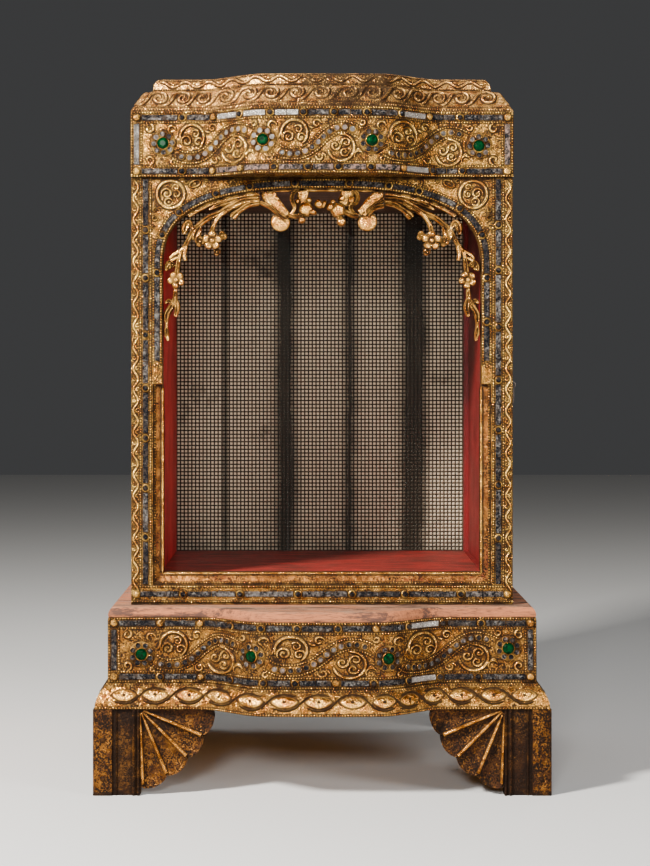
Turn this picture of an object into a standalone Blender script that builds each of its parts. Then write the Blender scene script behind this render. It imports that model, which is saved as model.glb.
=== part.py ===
"""Gilded temple shrine: a glazed case under a carved crown, on a bow fronted plinth with bracket feet.

Metres, +Z up, front towards -Y, origin under the middle of the shrine's box.
"""

import math

import bmesh
import bpy
from mathutils import Vector

# Air left between pieces that touch
gap = 0.0003

# Case: frame round the glass, walls, depth
frame_width = 0.422
frame_overhang = 0.003
frame_thickness = 0.020
wall_thickness = 0.025
case_height = 0.472
case_depth = 0.330
floor_thickness = 0.014
floor_rise = 0.0146
ceiling_thickness = 0.012
glass_thickness = 0.003
back_glass_thickness = 0.004
back_board_thickness = 0.008
back_board_seams = (-0.577, -0.197, 0.195, 0.591)
back_seam_width = 0.0015

# Opening of the frame: an arch over straight sides, with slips round the lower part
frame_side_rail = 0.0345
arch_rise = 0.0884
arch_power = 2.7
crown_rail = 0.0116
bottom_rail = 0.0216
slip_width = 0.0105
slip_depth = 0.0125
slip_top_above_rail = 0.222
slip_recess = 0.003
slip_slope = 0.006

# Crown and plinth, from the top down
cap_upper_height = 0.0145
cap_lower_height = 0.0254
cap_lower_setback = 0.0229
cap_upper_setback = 0.0100
frieze_height = 0.0718
frieze_projection = 0.004
frieze_board = 0.020
frieze_depth_at_ends = 0.024
plinth_top_thickness = 0.0105
plinth_height = 0.0712
plinth_board = 0.020
plinth_depth_at_ends = 0.030
plinth_projection = 0.023
plinth_back_projection = 0.005
moulding_height = 0.0264
moulding_projection = 0.015
moulding_back_projection = 0.005
plinth_top_nose = 0.0045

# Bow of the crown and plinth fronts: flat ends, an ogee, then a nearly flat crest
bow = 0.045
bow_crest = 0.062
bow_start = 0.134
bow_crest_fall = 0.002
bow_steps = 5

# Feet
foot_height = 0.0935
foot_board = 0.018
foot_post = 0.051
foot_side_post = 0.030
fan_reach = 0.083
fan_lift = 0.0049
fan_lobes = 4
fan_notch = 0.0065
fan_power = 1.6
side_bracket_reach = 0.062
side_bracket_drop = 0.012
flute_width = 0.0036
flute_height = 0.0026
flute_start = 0.008
flute_end_inset = 0.0015
post_bead_width = 0.0040
post_bead_height = 0.0022
post_bead_places = (0.5, 0.93)

# Raised lacquer ornament
relief_sink = 0.0015
rail_ridge_width = 0.0024
rail_ridge_height = 0.0013
scroll_ridge_width = 0.0028
scroll_ridge_height = 0.0019
fine_ridge_width = 0.0020
bead_end_inset = 0.002
scroll_radius = 0.0105
scroll_boss_radius = 0.0058
small_curl_radius = 0.0040
band_width = 0.0108
band_height = 0.0022
band_flat_share = 0.7
strip_row_height = 0.0095
rail_inset = 0.0022
floret_radius = 0.0138
floret_height = 0.0030
floret_lobes = 8
stone_radius = 0.0064
stone_height = 0.0030
wave_rise = 0.0122
wave_start = 0.145
wave_end = 0.86
frieze_florets = (-0.880, -0.322, 0.269, 0.868)
plinth_florets = (-0.888, -0.340, 0.315, 0.914)
frieze_floret_lifts = (0.001, 0.0, -0.001, -0.002)
plinth_floret_lifts = (-0.0045, -0.001, -0.003, 0.002)
cap_spirals = 14
cap_spiral_width = 0.0026
cap_spiral_height = 0.0012
cap_spiral_place = 0.52
eye_count = 14
eye_height = 0.0012
eye_place = 0.53
eye_half_share = 0.21
eye_proud = 0.0019

# Carving of the front frame
column_rail_insets = (0.0105, 0.0215)
column_rail_foot = 0.0225
base_rail_heights = (0.003, 0.0185)
arch_bead_inset = 0.0018
arch_bead_fall = 0.0022
arch_bead_foot = 0.022
spandrel_across = 0.0430
spandrel_down = 0.0205
spandrel_radius = 0.0155
spandrel_curl_reach = 0.0070
spandrel_curl_radius = 0.0048

# Pierced carving in the arch, in three pieces
arch_steps = 20
tracery_setback = 0.004
tracery_thickness = 0.008
tracery_seam_share = 0.391
tracery_fit = 0.0005
blossom_depth_share = 0.925

# Side door on the right, its hinges and ring pull
door_front_inset = 0.105
door_rear_inset = 0.030
door_rail = 0.030
door_thickness = 0.020
door_clearance = 0.001
hinge_height = 0.040
hinge_leaf_width = 0.014
hinge_leaf_thickness = 0.0012
hinge_knuckle_radius = 0.0028
hinge_inset = 0.060
ring_radius = 0.0105
ring_wire = 0.0011
eye_radius = 0.0032
eye_wire = 0.0009
eye_standoff = 0.0160
ring_edge_inset = 0.016
ring_share_of_height = 0.515

# Heights, stacked from the floor
foot_top = foot_height
moulding_low = foot_top + gap
moulding_top = moulding_low + moulding_height
plinth_low = moulding_top + gap
plinth_high = plinth_low + plinth_height
plinth_top_low = plinth_high + gap
plinth_top_high = plinth_top_low + plinth_top_thickness
case_low = plinth_top_high + gap
case_high = case_low + case_height
frieze_low = case_high + gap
frieze_high = frieze_low + frieze_height
cap_lower_low = frieze_high + gap
cap_lower_high = cap_lower_low + cap_lower_height
cap_upper_low = cap_lower_high + gap

# Plan sizes, from the case outwards
frame_half = frame_width / 2
case_half = frame_half - frame_overhang
inner_half = case_half - wall_thickness
opening_half_width = frame_half - frame_side_rail
tracery_seam = tracery_seam_share * opening_half_width
plinth_half = frame_half + plinth_projection
moulding_half = plinth_half + moulding_projection
front_reach = plinth_projection + moulding_projection + bow + eye_proud
back_reach = plinth_back_projection + moulding_back_projection
case_front = (front_reach - case_depth - back_reach) / 2
case_back = case_front + case_depth
plinth_front_y = case_front - plinth_projection
plinth_back_y = case_back + plinth_back_projection
moulding_front_y = plinth_front_y - moulding_projection
moulding_back_y = plinth_back_y + moulding_back_projection
frieze_front_y = case_front - frieze_projection
wall_front = case_front + frame_thickness + gap
wall_back = case_back - back_board_thickness - gap
front_glass_y = case_front + frame_thickness + gap
door_gap_front = case_front + door_front_inset
door_gap_rear = case_back - door_rear_inset
back_glass_y = wall_back - back_glass_thickness

# Opening heights
opening_low = case_low + bottom_rail
arch_crown = case_high - crown_rail
arch_spring = arch_crown - arch_rise
slip_high = opening_low + slip_top_above_rail
floor_low = case_low + floor_rise
floor_high = floor_low + floor_thickness
ceiling_low = case_high - ceiling_thickness

gold = (0.62, 0.38, 0.10)
worn_gold = (0.36, 0.20, 0.06)
bare_wood = (0.42, 0.20, 0.12)
red_lacquer = (0.32, 0.02, 0.02)
dark_wood = (0.10, 0.05, 0.03)
pale_board = (0.45, 0.40, 0.28)
brown_iron = (0.12, 0.10, 0.09)
green_glass = (0.0, 0.16, 0.05)
clear_glass = (0.80, 0.84, 0.82)


def clear_scene():
    for old in list(bpy.data.objects):
        bpy.data.objects.remove(old)


def collection(name, shown=True):
    made = bpy.data.collections.new(name)
    bpy.context.scene.collection.children.link(made)
    made.hide_render = not shown
    return made


def surface_finish(name, colour, roughness=0.5, metallic=0.0, alpha=1.0):
    finish = bpy.data.materials.new(name)
    finish.use_nodes = True
    shader = finish.node_tree.nodes["Principled BSDF"]
    shader.inputs["Base Color"].default_value = (*colour, 1.0)
    shader.inputs["Roughness"].default_value = roughness
    shader.inputs["Metallic"].default_value = metallic
    shader.inputs["Alpha"].default_value = alpha
    return finish


clear_scene()
shrine = collection("temple_shrine")
helpers = collection("carving_helpers", shown=False)
gilding = surface_finish("gilding", gold, 0.38, 0.8)
worn_gilding = surface_finish("worn_gilding", worn_gold, 0.5, 0.6)
plain_wood = surface_finish("bare_wood", bare_wood, 0.8)
lacquer = surface_finish("red_lacquer", red_lacquer, 0.45)
aged_wood = surface_finish("dark_wood", dark_wood, 0.75)
board_wood = surface_finish("pale_board", pale_board, 0.8)
fittings = surface_finish("iron", brown_iron, 0.5, 0.9)
stone_glass = surface_finish("green_glass", green_glass, 0.08)
pane_glass = surface_finish("glass", clear_glass, 0.05, 0.0, 0.3)


def place_mesh(name, mesh, finish, group=None):
    """An object made from a closed mesh, with its faces turned outwards."""
    bm = bmesh.new()
    bm.from_mesh(mesh)
    bmesh.ops.recalc_face_normals(bm, faces=bm.faces)
    bm.to_mesh(mesh)
    bm.free()
    placed = bpy.data.objects.new(name, mesh)
    mesh.materials.clear()
    mesh.materials.append(finish)
    (group or shrine).objects.link(placed)
    return placed


def box(name, low, high, finish, group=None):
    """A board between two corners."""
    bm = bmesh.new()
    bmesh.ops.create_cube(bm, size=1.0)
    size = Vector(high) - Vector(low)
    bmesh.ops.scale(bm, vec=size, verts=bm.verts)
    bmesh.ops.translate(bm, vec=(Vector(high) + Vector(low)) / 2, verts=bm.verts)
    mesh = bpy.data.meshes.new(name)
    bm.to_mesh(mesh)
    bm.free()
    return place_mesh(name, mesh, finish, group)


def fret(name, outlines, near, far, finish, upright=True, group=None):
    """A board cut to flat outlines, which lie in XZ and run along Y, or lie in XY and run along Z."""
    curve = bpy.data.curves.new(name, "CURVE")
    curve.dimensions = "2D"
    curve.fill_mode = "BOTH"
    curve.extrude = abs(far - near) / 2
    for outline in outlines:
        spline = curve.splines.new("POLY")
        spline.points.add(len(outline) - 1)
        for point, (u, v) in zip(spline.points, outline):
            point.co = (u, v, 0.0, 1.0)
        spline.use_cyclic_u = True
    shape = bpy.data.objects.new(name + "_outline", curve)
    helpers.objects.link(shape)
    if upright:
        shape.rotation_euler = (math.pi / 2, 0.0, 0.0)
        shape.location = (0.0, (near + far) / 2, 0.0)
    else:
        shape.location = (0.0, 0.0, (near + far) / 2)
    bpy.context.view_layer.update()
    mesh = bpy.data.meshes.new_from_object(shape.evaluated_get(bpy.context.evaluated_depsgraph_get()))
    mesh.transform(shape.matrix_world)
    bm = bmesh.new()
    bm.from_mesh(mesh)
    bmesh.ops.remove_doubles(bm, verts=bm.verts, dist=1e-6)
    bm.to_mesh(mesh)
    bm.free()
    bpy.data.objects.remove(shape)
    mesh.name = name
    return place_mesh(name, mesh, finish, group)


def loft(name, rings, finish, group=None):
    """A closed solid through rings of points, all with the same count, capped at both ends."""
    bm = bmesh.new()
    made = [[bm.verts.new(point) for point in ring] for ring in rings]
    count = len(rings[0])
    for lower, upper in zip(made, made[1:]):
        for i in range(count):
            j = (i + 1) % count
            bm.faces.new((lower[i], lower[j], upper[j], upper[i]))
    bm.faces.new(list(reversed(made[0])))
    bm.faces.new(made[-1])
    mesh = bpy.data.meshes.new(name)
    bm.to_mesh(mesh)
    bm.free()
    return place_mesh(name, mesh, finish, group)


def bar_mesh(name, sections, finish, closed=False, group=None):
    """A bar through cross sections of the same count; a closed one has no ends."""
    bm = bmesh.new()
    made = [[bm.verts.new(point) for point in section] for section in sections]
    count = len(sections[0])
    pairs = list(zip(made, made[1:]))
    if closed:
        pairs.append((made[-1], made[0]))
    for first, second in pairs:
        for i in range(count):
            j = (i + 1) % count
            bm.faces.new((first[i], first[j], second[j], second[i]))
    if not closed:
        bm.faces.new(list(reversed(made[0])))
        bm.faces.new(made[-1])
    mesh = bpy.data.meshes.new(name)
    bm.to_mesh(mesh)
    bm.free()
    return place_mesh(name, mesh, finish, group)


def flat_surface(front):
    """The flat face at Y = front, which looks towards -Y."""
    def at(u, v):
        return Vector((u, front, v)), Vector((0.0, -1.0, 0.0))
    return at


def bow_at(x):
    """How far the bowed fronts stand forward at x."""
    away = abs(x)
    if away >= bow_start:
        return 0.0
    if away <= bow_crest:
        return bow - bow_crest_fall * (away / bow_crest) ** 2
    t = (bow_start - away) / (bow_start - bow_crest)
    return (bow - bow_crest_fall) * t * t * (3 - 2 * t)


def bow_stations():
    """The x values where the bowed front is cut into facets, from left to right."""
    ogee = [bow_crest + (bow_start - bow_crest) * i / bow_steps for i in range(bow_steps + 1)]
    return [-x for x in reversed(ogee)] + [0.0] + ogee


def faceted_bow(x):
    """The bow at x on the facets themselves."""
    stations = bow_stations()
    if x <= stations[0] or x >= stations[-1]:
        return 0.0
    for left, right in zip(stations, stations[1:]):
        if left <= x <= right:
            share = (x - left) / (right - left)
            return bow_at(left) * (1 - share) + bow_at(right) * share
    return 0.0


def bowed_surface(front):
    """The upright bowed face whose flat ends are at Y = front."""
    step = 0.002

    def at(u, v):
        slope = (faceted_bow(u + step) - faceted_bow(u - step)) / (2 * step)
        return Vector((u, front - faceted_bow(u), v)), Vector((-slope, -1.0, 0.0)).normalized()
    return at


def sloped_surface(front, low, profile):
    """The bowed sloping face of a moulding, with v from 0 to 1 up its (setback, height) profile."""
    def at(u, v):
        place = min(max(v, 0.0), 1.0) * (len(profile) - 1)
        index = min(int(place), len(profile) - 2)
        (set_a, rise_a), (set_b, rise_b) = profile[index], profile[index + 1]
        share = place - index
        setback = set_a + (set_b - set_a) * share
        rise = rise_a + (rise_b - rise_a) * share
        lean = Vector((0.0, rise_a - rise_b, set_b - set_a)).normalized()
        return Vector((u, front + setback - faceted_bow(u), low + rise)), lean
    return at


def plan_ring(half, front, back, z, setback=0.0, back_setback=0.0):
    """The plan outline of a bowed block at one height."""
    ring = [(half - setback, back - back_setback, z), (-half + setback, back - back_setback, z)]
    ring.append((-half + setback, front + setback, z))
    ring += [(x, front + setback - bow_at(x), z) for x in bow_stations()]
    ring.append((half - setback, front + setback, z))
    return ring


def ridge(name, path, surface, width, height, flat_share=0.0, closed=False):
    """A raised thread of ornament that follows a path of (u, v) points on a surface."""
    spots = [surface(u, v) for u, v in path]
    sections = []
    count = len(spots)
    for i, (point, normal) in enumerate(spots):
        if closed:
            before, after = spots[i - 1][0], spots[(i + 1) % count][0]
        else:
            before, after = spots[max(i - 1, 0)][0], spots[min(i + 1, count - 1)][0]
        along = (after - before).normalized()
        side = normal.cross(along).normalized()
        section = [point - side * width / 2 - normal * relief_sink]
        if flat_share:
            section.append(point - side * width * flat_share / 2 + normal * height)
            section.append(point + side * width * flat_share / 2 + normal * height)
        else:
            section.append(point + normal * height)
        section.append(point + side * width / 2 - normal * relief_sink)
        sections.append(section)
    return bar_mesh(name, sections, gilding, closed, helpers)


def unite(host, parts):
    """Joins the raised ornament to the board that it is carved on."""
    group = collection(host.name + "_ornament", shown=False)
    for part in parts:
        helpers.objects.unlink(part)
        group.objects.link(part)
        part.hide_render = True
        part.display_type = "WIRE"
    union = host.modifiers.new("ornament", "BOOLEAN")
    union.operation = "UNION"
    union.operand_type = "COLLECTION"
    union.collection = group
    union.solver = "EXACT"
    union.use_self = False


def turned_curl(centre, radius, start, turns, steps, tightness=0.25):
    """Points of a spiral that winds inwards. Positive turns run anticlockwise."""
    points = []
    for i in range(steps + 1):
        share = i / steps
        reach = radius * (1 - (1 - tightness) * share)
        angle = start + 2 * math.pi * turns * share
        points.append((centre[0] + reach * math.cos(angle), centre[1] + reach * math.sin(angle)))
    return points


def petal_disc(name, centre, surface, radius, height, lobes):
    """A low round flower with a lobed edge, standing on the surface."""
    point, normal = surface(*centre)
    across = Vector((0.0, 0.0, 1.0)).cross(normal).normalized()
    up = normal.cross(across).normalized()
    rings = []
    for lift, share in ((-relief_sink, 1.0), (height, 0.9)):
        ring = []
        for i in range(2 * lobes):
            angle = math.pi * i / lobes
            reach = radius * share * (1.0 if i % 2 else 0.88)
            spoke = across * math.cos(angle) + up * math.sin(angle)
            ring.append(point + spoke * reach + normal * lift)
        rings.append(ring)
    return loft(name, rings, gilding, helpers)


def wave_centre(share):
    """Height of the winding band above the panel's middle, between one floret and the next."""
    return -wave_rise * math.cos(2 * math.pi * (share - 0.26))


def scroll_module(name, left, right, surface):
    """The winding band between two florets, with a scroll in each hollow and a curl above and below."""
    length = right[0] - left[0]

    def spot(share, lift):
        base = left[1] + (right[1] - left[1]) * share
        return left[0] + length * share, base + lift

    steps = 6
    shares = [wave_start + (wave_end - wave_start) * i / steps for i in range(steps + 1)]
    band = [spot(share, wave_centre(share)) for share in shares]
    parts = [ridge(name + "_band", band, surface, band_width, band_height, band_flat_share)]
    hollow_lift = wave_rise * 0.62
    for side, share, lift in (("high", 0.255, hollow_lift), ("low", 0.745, -hollow_lift)):
        centre = spot(share, lift)
        turn = -1 if side == "high" else 1
        first = math.pi * (0.95 if side == "high" else 1.95)
        outer = turned_curl(centre, scroll_radius, first, 0.86 * turn, 7, 0.86)
        scroll = f"{name}_{side}_scroll"
        parts.append(ridge(scroll, outer, surface, scroll_ridge_width, scroll_ridge_height))
        boss = petal_disc(f"{scroll}_boss", centre, surface, scroll_boss_radius, scroll_ridge_height, 3)
        parts.append(boss)
    for side, share, lift in (("above", 0.47, wave_rise * 1.12), ("below", 0.53, -wave_rise * 1.12)):
        centre = spot(share, lift)
        curl = turned_curl(centre, small_curl_radius, 0.0, 0.8, 3, 0.6)
        parts.append(ridge(f"{name}_{side}_curl", curl, surface, fine_ridge_width, scroll_ridge_height))
    return parts


def carved_panel(name, half, low, high, front, florets, lifts):
    """Ornament of the frieze and plinth fronts: strip rows, florets and the winding band between them."""
    surface = bowed_surface(front)
    left, right = -half + rail_inset, half - rail_inset
    stations = [left] + bow_stations() + [right]
    parts = []
    strip_inner = rail_inset + strip_row_height
    for i, z in enumerate((low + strip_inner, high - strip_inner)):
        path = [(left + strip_row_height, z)] + [(x, z) for x in stations[1:-1]]
        path.append((right - strip_row_height, z))
        parts.append(ridge(f"{name}_rail_{i}", path, surface, rail_ridge_width, rail_ridge_height))
    for side in (-1, 1):
        x = side * (half - strip_inner)
        path = [(x, low + strip_inner), (x, high - strip_inner)]
        parts.append(ridge(f"{name}_end_{side + 1}", path, surface, rail_ridge_width, rail_ridge_height))
    middle = (low + high) / 2
    panel_half = half - strip_inner
    centres = [(share * panel_half, middle + lift) for share, lift in zip(florets, lifts)]
    for i, (first, second) in enumerate(zip(centres, centres[1:])):
        parts += scroll_module(f"{name}_module_{i}", first, second, surface)
    for i, centre in enumerate(centres):
        disc = petal_disc(f"{name}_floret_{i}", centre, surface, floret_radius, floret_height, floret_lobes)
        parts.append(disc)
        add_stone(f"{name}_stone_{i + 1}", centre, surface)
    return parts


def add_stone(name, centre, surface):
    """A green glass stone, cut like a low cone with a flat top, on the middle of its floret."""
    point, normal = surface(*centre)
    bm = bmesh.new()
    bmesh.ops.create_cone(
        bm, cap_ends=True, segments=8, radius1=stone_radius, radius2=stone_radius * 0.6, depth=stone_height
    )
    mesh = bpy.data.meshes.new(name)
    bm.to_mesh(mesh)
    bm.free()
    stone = place_mesh(name, mesh, stone_glass)
    stone.rotation_mode = "QUATERNION"
    stone.rotation_quaternion = normal.to_track_quat("Z", "Y")
    stone.location = point + normal * (floret_height + gap + stone_height / 2)
    return stone


def arch_points(half_width, rise, spring, steps):
    """The arch from its left spring over the crown to its right spring."""
    points = []
    for i in range(steps + 1):
        angle = math.pi * (1 - i / steps)
        across = math.copysign(abs(math.cos(angle)) ** (2 / arch_power), math.cos(angle))
        points.append((half_width * across, spring + rise * math.sin(angle) ** (2 / arch_power)))
    return points


def build_feet():
    """Four corners, each a face board with its bracket and a side board behind it."""
    for end, front, back in (
        ("front", moulding_front_y, moulding_front_y + foot_board),
        ("back", moulding_back_y - foot_board, moulding_back_y),
    ):
        for side, label in ((-1, "left"), (1, "right")):
            face = foot_face_board(f"foot_{end}_{label}_face", side, front, back)
            if end == "front":
                carve_fan(face, side, front)
            foot_side_board(f"foot_{end}_{label}_side", side, end)


def fan_edge(angle):
    """Reach of the bracket from its apex, where angle 0 is level and a quarter turn is straight down."""
    drop = foot_height - fan_lift
    across, down = math.cos(angle) / fan_reach, math.sin(angle) / drop
    reach = (abs(across) ** fan_power + abs(down) ** fan_power) ** (-1 / fan_power)
    return reach - fan_notch * (1 - math.sqrt(abs(math.sin(2 * fan_lobes * angle))))


def foot_face_board(name, side, front, back):
    steps = 5 * fan_lobes
    outline = [(0.0, 0.0), (foot_post, 0.0)]
    for i in range(steps, -1, -1):
        angle = math.pi / 2 * i / steps
        reach = fan_edge(angle)
        outline.append((foot_post + reach * math.cos(angle), foot_height - reach * math.sin(angle)))
    outline.append((0.0, foot_height))
    turned = [(side * (moulding_half - u), v) for u, v in outline]
    return fret(name, [turned], front, back, worn_gilding)


def carve_fan(face, side, front):
    """Ridges between the flutes of the bracket, and the upright beads of the post."""
    surface = flat_surface(front)
    parts = []
    flutes = 2 * fan_lobes
    for i in range(1, flutes):
        angle = math.pi / 2 * i / flutes
        near, far = flute_start, fan_edge(angle) - flute_end_inset
        path = []
        for reach in (near, far):
            u = foot_post + reach * math.cos(angle)
            path.append((side * (moulding_half - u), foot_height - reach * math.sin(angle)))
        parts.append(ridge(f"{face.name}_flute_{i}", path, surface, flute_width, flute_height))
    for i, place in enumerate(post_bead_places):
        x = side * (moulding_half - foot_post * place)
        path = [(x, bead_end_inset), (x, foot_height - bead_end_inset)]
        parts.append(ridge(f"{face.name}_bead_{i}", path, surface, post_bead_width, post_bead_height))
    unite(face, parts)


def foot_side_board(name, side, end):
    """The plain side board of a corner, cut to a quarter round bracket."""
    steps = 6
    post, reach = foot_side_post, side_bracket_reach
    outline = [(0.0, 0.0), (post, 0.0)]
    bracket_height = foot_height - side_bracket_drop
    for i in range(steps + 1):
        angle = math.pi / 2 * i / steps
        outline.append((post + reach * (1 - math.cos(angle)), bracket_height * math.sin(angle)))
    outline += [(post + reach, foot_height), (0.0, foot_height)]
    if end == "front":
        along = [(moulding_front_y + foot_board + gap + u, v) for u, v in outline]
    else:
        along = [(moulding_back_y - foot_board - gap - u, v) for u, v in outline]
    edges = sorted((side * moulding_half, side * (moulding_half - foot_board)))
    rings = [[(x, y, z) for y, z in along] for x in edges]
    return loft(name, rings, worn_gilding)


def moulding_profile():
    """(setback, height) pairs up the eye moulding, steep at the foot and easing in at the top."""
    inset, rise = moulding_projection, moulding_height
    shares = ((0.0, 0.0), (0.0, 0.10), (0.13, 0.42), (0.5, 0.74), (0.94, 1.0))
    return [(inset * back, rise * up) for back, up in shares]


def build_foot_moulding():
    profile = moulding_profile()
    rings = [
        plan_ring(moulding_half, moulding_front_y, moulding_back_y, moulding_low + rise, setback)
        for setback, rise in profile
    ]
    board = loft("foot_moulding", rings, gilding)
    surface = sloped_surface(moulding_front_y, moulding_low, profile)
    pitch = 2 * moulding_half / (eye_count + 0.6)
    parts = []
    for i in range(eye_count):
        centre = (i - (eye_count - 1) / 2) * pitch
        parts.append(eye_pad(f"eye_{i}", centre, pitch * 0.46, surface))
    unite(board, parts)


def eye_pad(name, x, half_length, surface):
    """A raised pointed oval, the eye of the moulding."""
    v = eye_place
    point, normal = surface(x, v)
    top = surface(x, v + eye_half_share)[0] - point
    corners = []
    for i in range(6):
        angle = 2 * math.pi * i / 6
        across = half_length * math.cos(angle)
        rise = math.sin(angle)
        corners.append(surface(x + across, v)[0] + top * rise)
    rings = []
    for lift, share in ((-relief_sink, 1.0), (eye_height, 0.94)):
        ring = []
        for corner in corners:
            ring.append(point + (corner - point) * share + normal * lift)
        rings.append(ring)
    return loft(name, rings, gilding, helpers)


def build_plinth():
    back_inner = plinth_back_y - plinth_board
    rear_y = plinth_front_y + plinth_depth_at_ends
    outline = [(plinth_half, rear_y), (-plinth_half, rear_y), (-plinth_half, plinth_front_y)]
    outline += [(x, plinth_front_y - bow_at(x)) for x in bow_stations()]
    outline.append((plinth_half, plinth_front_y))
    front = fret("plinth_front", [outline], plinth_low, plinth_high, gilding, upright=False)
    heights = (plinth_low, plinth_high)
    florets = (plinth_florets, plinth_floret_lifts)
    unite(front, carved_panel("plinth", plinth_half, *heights, plinth_front_y, *florets))
    side_front = rear_y + gap
    for side, label in ((-1, "left"), (1, "right")):
        edges = sorted((side * plinth_half, side * (plinth_half - plinth_board)))
        low, high = (edges[0], side_front, plinth_low), (edges[1], plinth_back_y, plinth_high)
        box(f"plinth_{label}", low, high, gilding)
    across = plinth_half - plinth_board - gap
    box("plinth_back", (-across, back_inner, plinth_low), (across, plinth_back_y, plinth_high), aged_wood)
    nose = ((0.0, 0.0), (0.1, 0.3), (1.0, 1.0))
    rings = []
    for back, up in nose:
        level = plinth_top_low + plinth_top_thickness * up
        rings.append(plan_ring(plinth_half, plinth_front_y, plinth_back_y, level, plinth_top_nose * back))
    loft("plinth_top", rings, plain_wood)


def opening_outline():
    """The frame's opening: slips' seat below, full arch above."""
    seat = opening_half_width + slip_width
    left = [(-seat, opening_low), (-seat, slip_high), (-opening_half_width, slip_high)]
    arch = arch_points(opening_half_width, arch_rise, arch_spring, arch_steps)
    right = [(-x, z) for x, z in reversed(left)]
    return left + arch + right


def build_front_frame():
    corners = ((-1, case_low), (1, case_low), (1, case_high), (-1, case_high))
    outer = [(side * frame_half, z) for side, z in corners]
    outlines = [outer, opening_outline()]
    frame = fret("front_frame", outlines, case_front, case_front + frame_thickness, gilding)
    surface = flat_surface(case_front)
    parts = []
    column_tops = (case_high - bead_end_inset, arch_spring - bead_end_inset)
    for side in (-1, 1):
        for i, (inset, top) in enumerate(zip(column_rail_insets, column_tops)):
            x = side * (frame_half - inset)
            path = [(x, case_low + column_rail_foot), (x, top)]
            name = f"frame_column_{side + 1}_{i}"
            parts.append(ridge(name, path, surface, rail_ridge_width, rail_ridge_height))
    for i, rise in enumerate(base_rail_heights):
        reach = frame_half - bead_end_inset
        path = [(-reach, case_low + rise), (reach, case_low + rise)]
        parts.append(ridge(f"frame_bottom_{i}", path, surface, rail_ridge_width, rail_ridge_height))
    edge = opening_half_width + arch_bead_inset
    inner_arch = arch_points(edge, arch_rise + arch_bead_inset, arch_spring, arch_steps)
    bead_foot = slip_high + arch_bead_foot
    inner_arch = [(-edge, bead_foot)] + inner_arch + [(edge, bead_foot)]
    parts.append(ridge("frame_arch_inner", inner_arch, surface, rail_ridge_width, rail_ridge_height))
    outer_edge = opening_half_width + slip_width
    outer_rise = arch_rise + crown_rail - arch_bead_fall
    outer_arch = arch_points(outer_edge, outer_rise, arch_spring, arch_steps)[3:-3]
    parts.append(ridge("frame_arch_outer", outer_arch, surface, rail_ridge_width, rail_ridge_height))
    for side in (-1, 1):
        parts += spandrel_roundel(side, surface)
    unite(frame, parts)


def spandrel_roundel(side, surface):
    """A ring with three curls, in the corner between the arch and the column."""
    label = "left" if side < 0 else "right"
    centre = (side * (frame_half - spandrel_across), case_high - spandrel_down)
    ring = turned_curl(centre, spandrel_radius, 0.0, 0.93 * side, 10, 0.96)
    parts = [ridge(f"spandrel_ring_{label}", ring, surface, scroll_ridge_width, scroll_ridge_height)]
    for i in range(3):
        angle = 2 * math.pi * i / 3 + 0.5
        across = centre[0] + spandrel_curl_reach * math.cos(angle)
        up = centre[1] + spandrel_curl_reach * math.sin(angle)
        curl = turned_curl((across, up), spandrel_curl_radius, angle, 0.85 * side, 4, 0.4)
        name = f"spandrel_curl_{label}_{i}"
        parts.append(ridge(name, curl, surface, fine_ridge_width, scroll_ridge_height))
    return parts


def build_slips():
    """Gilt slips with a sloping face, mitred where they meet at the lower corners."""
    front, back = case_front + slip_recess, case_front + frame_thickness
    seat = opening_half_width + slip_width - gap
    inner = seat - slip_width + gap
    low, inner_low = opening_low + gap, opening_low + gap + slip_depth
    for side, label in ((-1, "left"), (1, "right")):
        rings = []
        for outer_z, inner_z in ((low + gap, inner_low + gap), (slip_high - gap, slip_high - gap)):
            rings.append([
                (side * seat, front, outer_z), (side * inner, front + slip_slope, inner_z),
                (side * inner, back, inner_z), (side * seat, back, outer_z),
            ])
        loft(f"slip_{label}", rings, gilding)
    rings = []
    for side in (-1, 1):
        outer_x, inner_x = side * (seat - gap), side * (inner - gap)
        rings.append([
            (outer_x, front, low), (inner_x, front + slip_slope, inner_low),
            (inner_x, back, inner_low), (outer_x, back, low),
        ])
    loft("slip_bottom", rings, gilding)


def build_case():
    """Walls, floor, ceiling, panes and back boards."""
    within = inner_half - gap
    front_pane = (front_glass_y, front_glass_y + glass_thickness)
    back_pane = (back_glass_y, back_glass_y + back_glass_thickness)
    for name, (near, far) in (("front_glass", front_pane), ("back_glass", back_pane)):
        box(name, (-within, near, case_low), (within, far, ceiling_low - gap), pane_glass)
    box("case_left_side", (-case_half, wall_front, case_low), (-inner_half, wall_back, case_high), lacquer)
    build_right_side()
    floor_front, floor_back = front_pane[1] + gap, back_pane[0] - gap
    box("case_floor", (-within, floor_front, floor_low), (within, floor_back, floor_high), lacquer)
    box("case_ceiling", (-within, wall_front, ceiling_low), (within, wall_back, case_high), aged_wood)
    edges = [-case_half, *[share * case_half for share in back_board_seams], case_half]
    for i, (left, right) in enumerate(zip(edges, edges[1:])):
        low_x = left + (back_seam_width / 2 if i else 0.0)
        high_x = right - (back_seam_width / 2 if i < len(back_board_seams) else 0.0)
        low_corner, high_corner = (low_x, wall_back + gap, case_low), (high_x, case_back, case_high)
        box(f"back_board_{i + 1}", low_corner, high_corner, board_wood)


def build_right_side():
    """The right wall is two stiles and two rails round the door."""
    front_edge, rear_edge = door_gap_front, door_gap_rear
    low_rail, high_rail = case_low + door_rail, case_high - door_rail
    pieces = {
        "right_front_stile": (wall_front, front_edge, case_low, case_high),
        "right_rear_stile": (rear_edge, wall_back, case_low, case_high),
        "right_bottom_rail": (front_edge + gap, rear_edge - gap, case_low, low_rail),
        "right_top_rail": (front_edge + gap, rear_edge - gap, high_rail, case_high),
    }
    for name, (near, far, low, high) in pieces.items():
        box(name, (inner_half, near, low), (case_half, far, high), lacquer)


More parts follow.
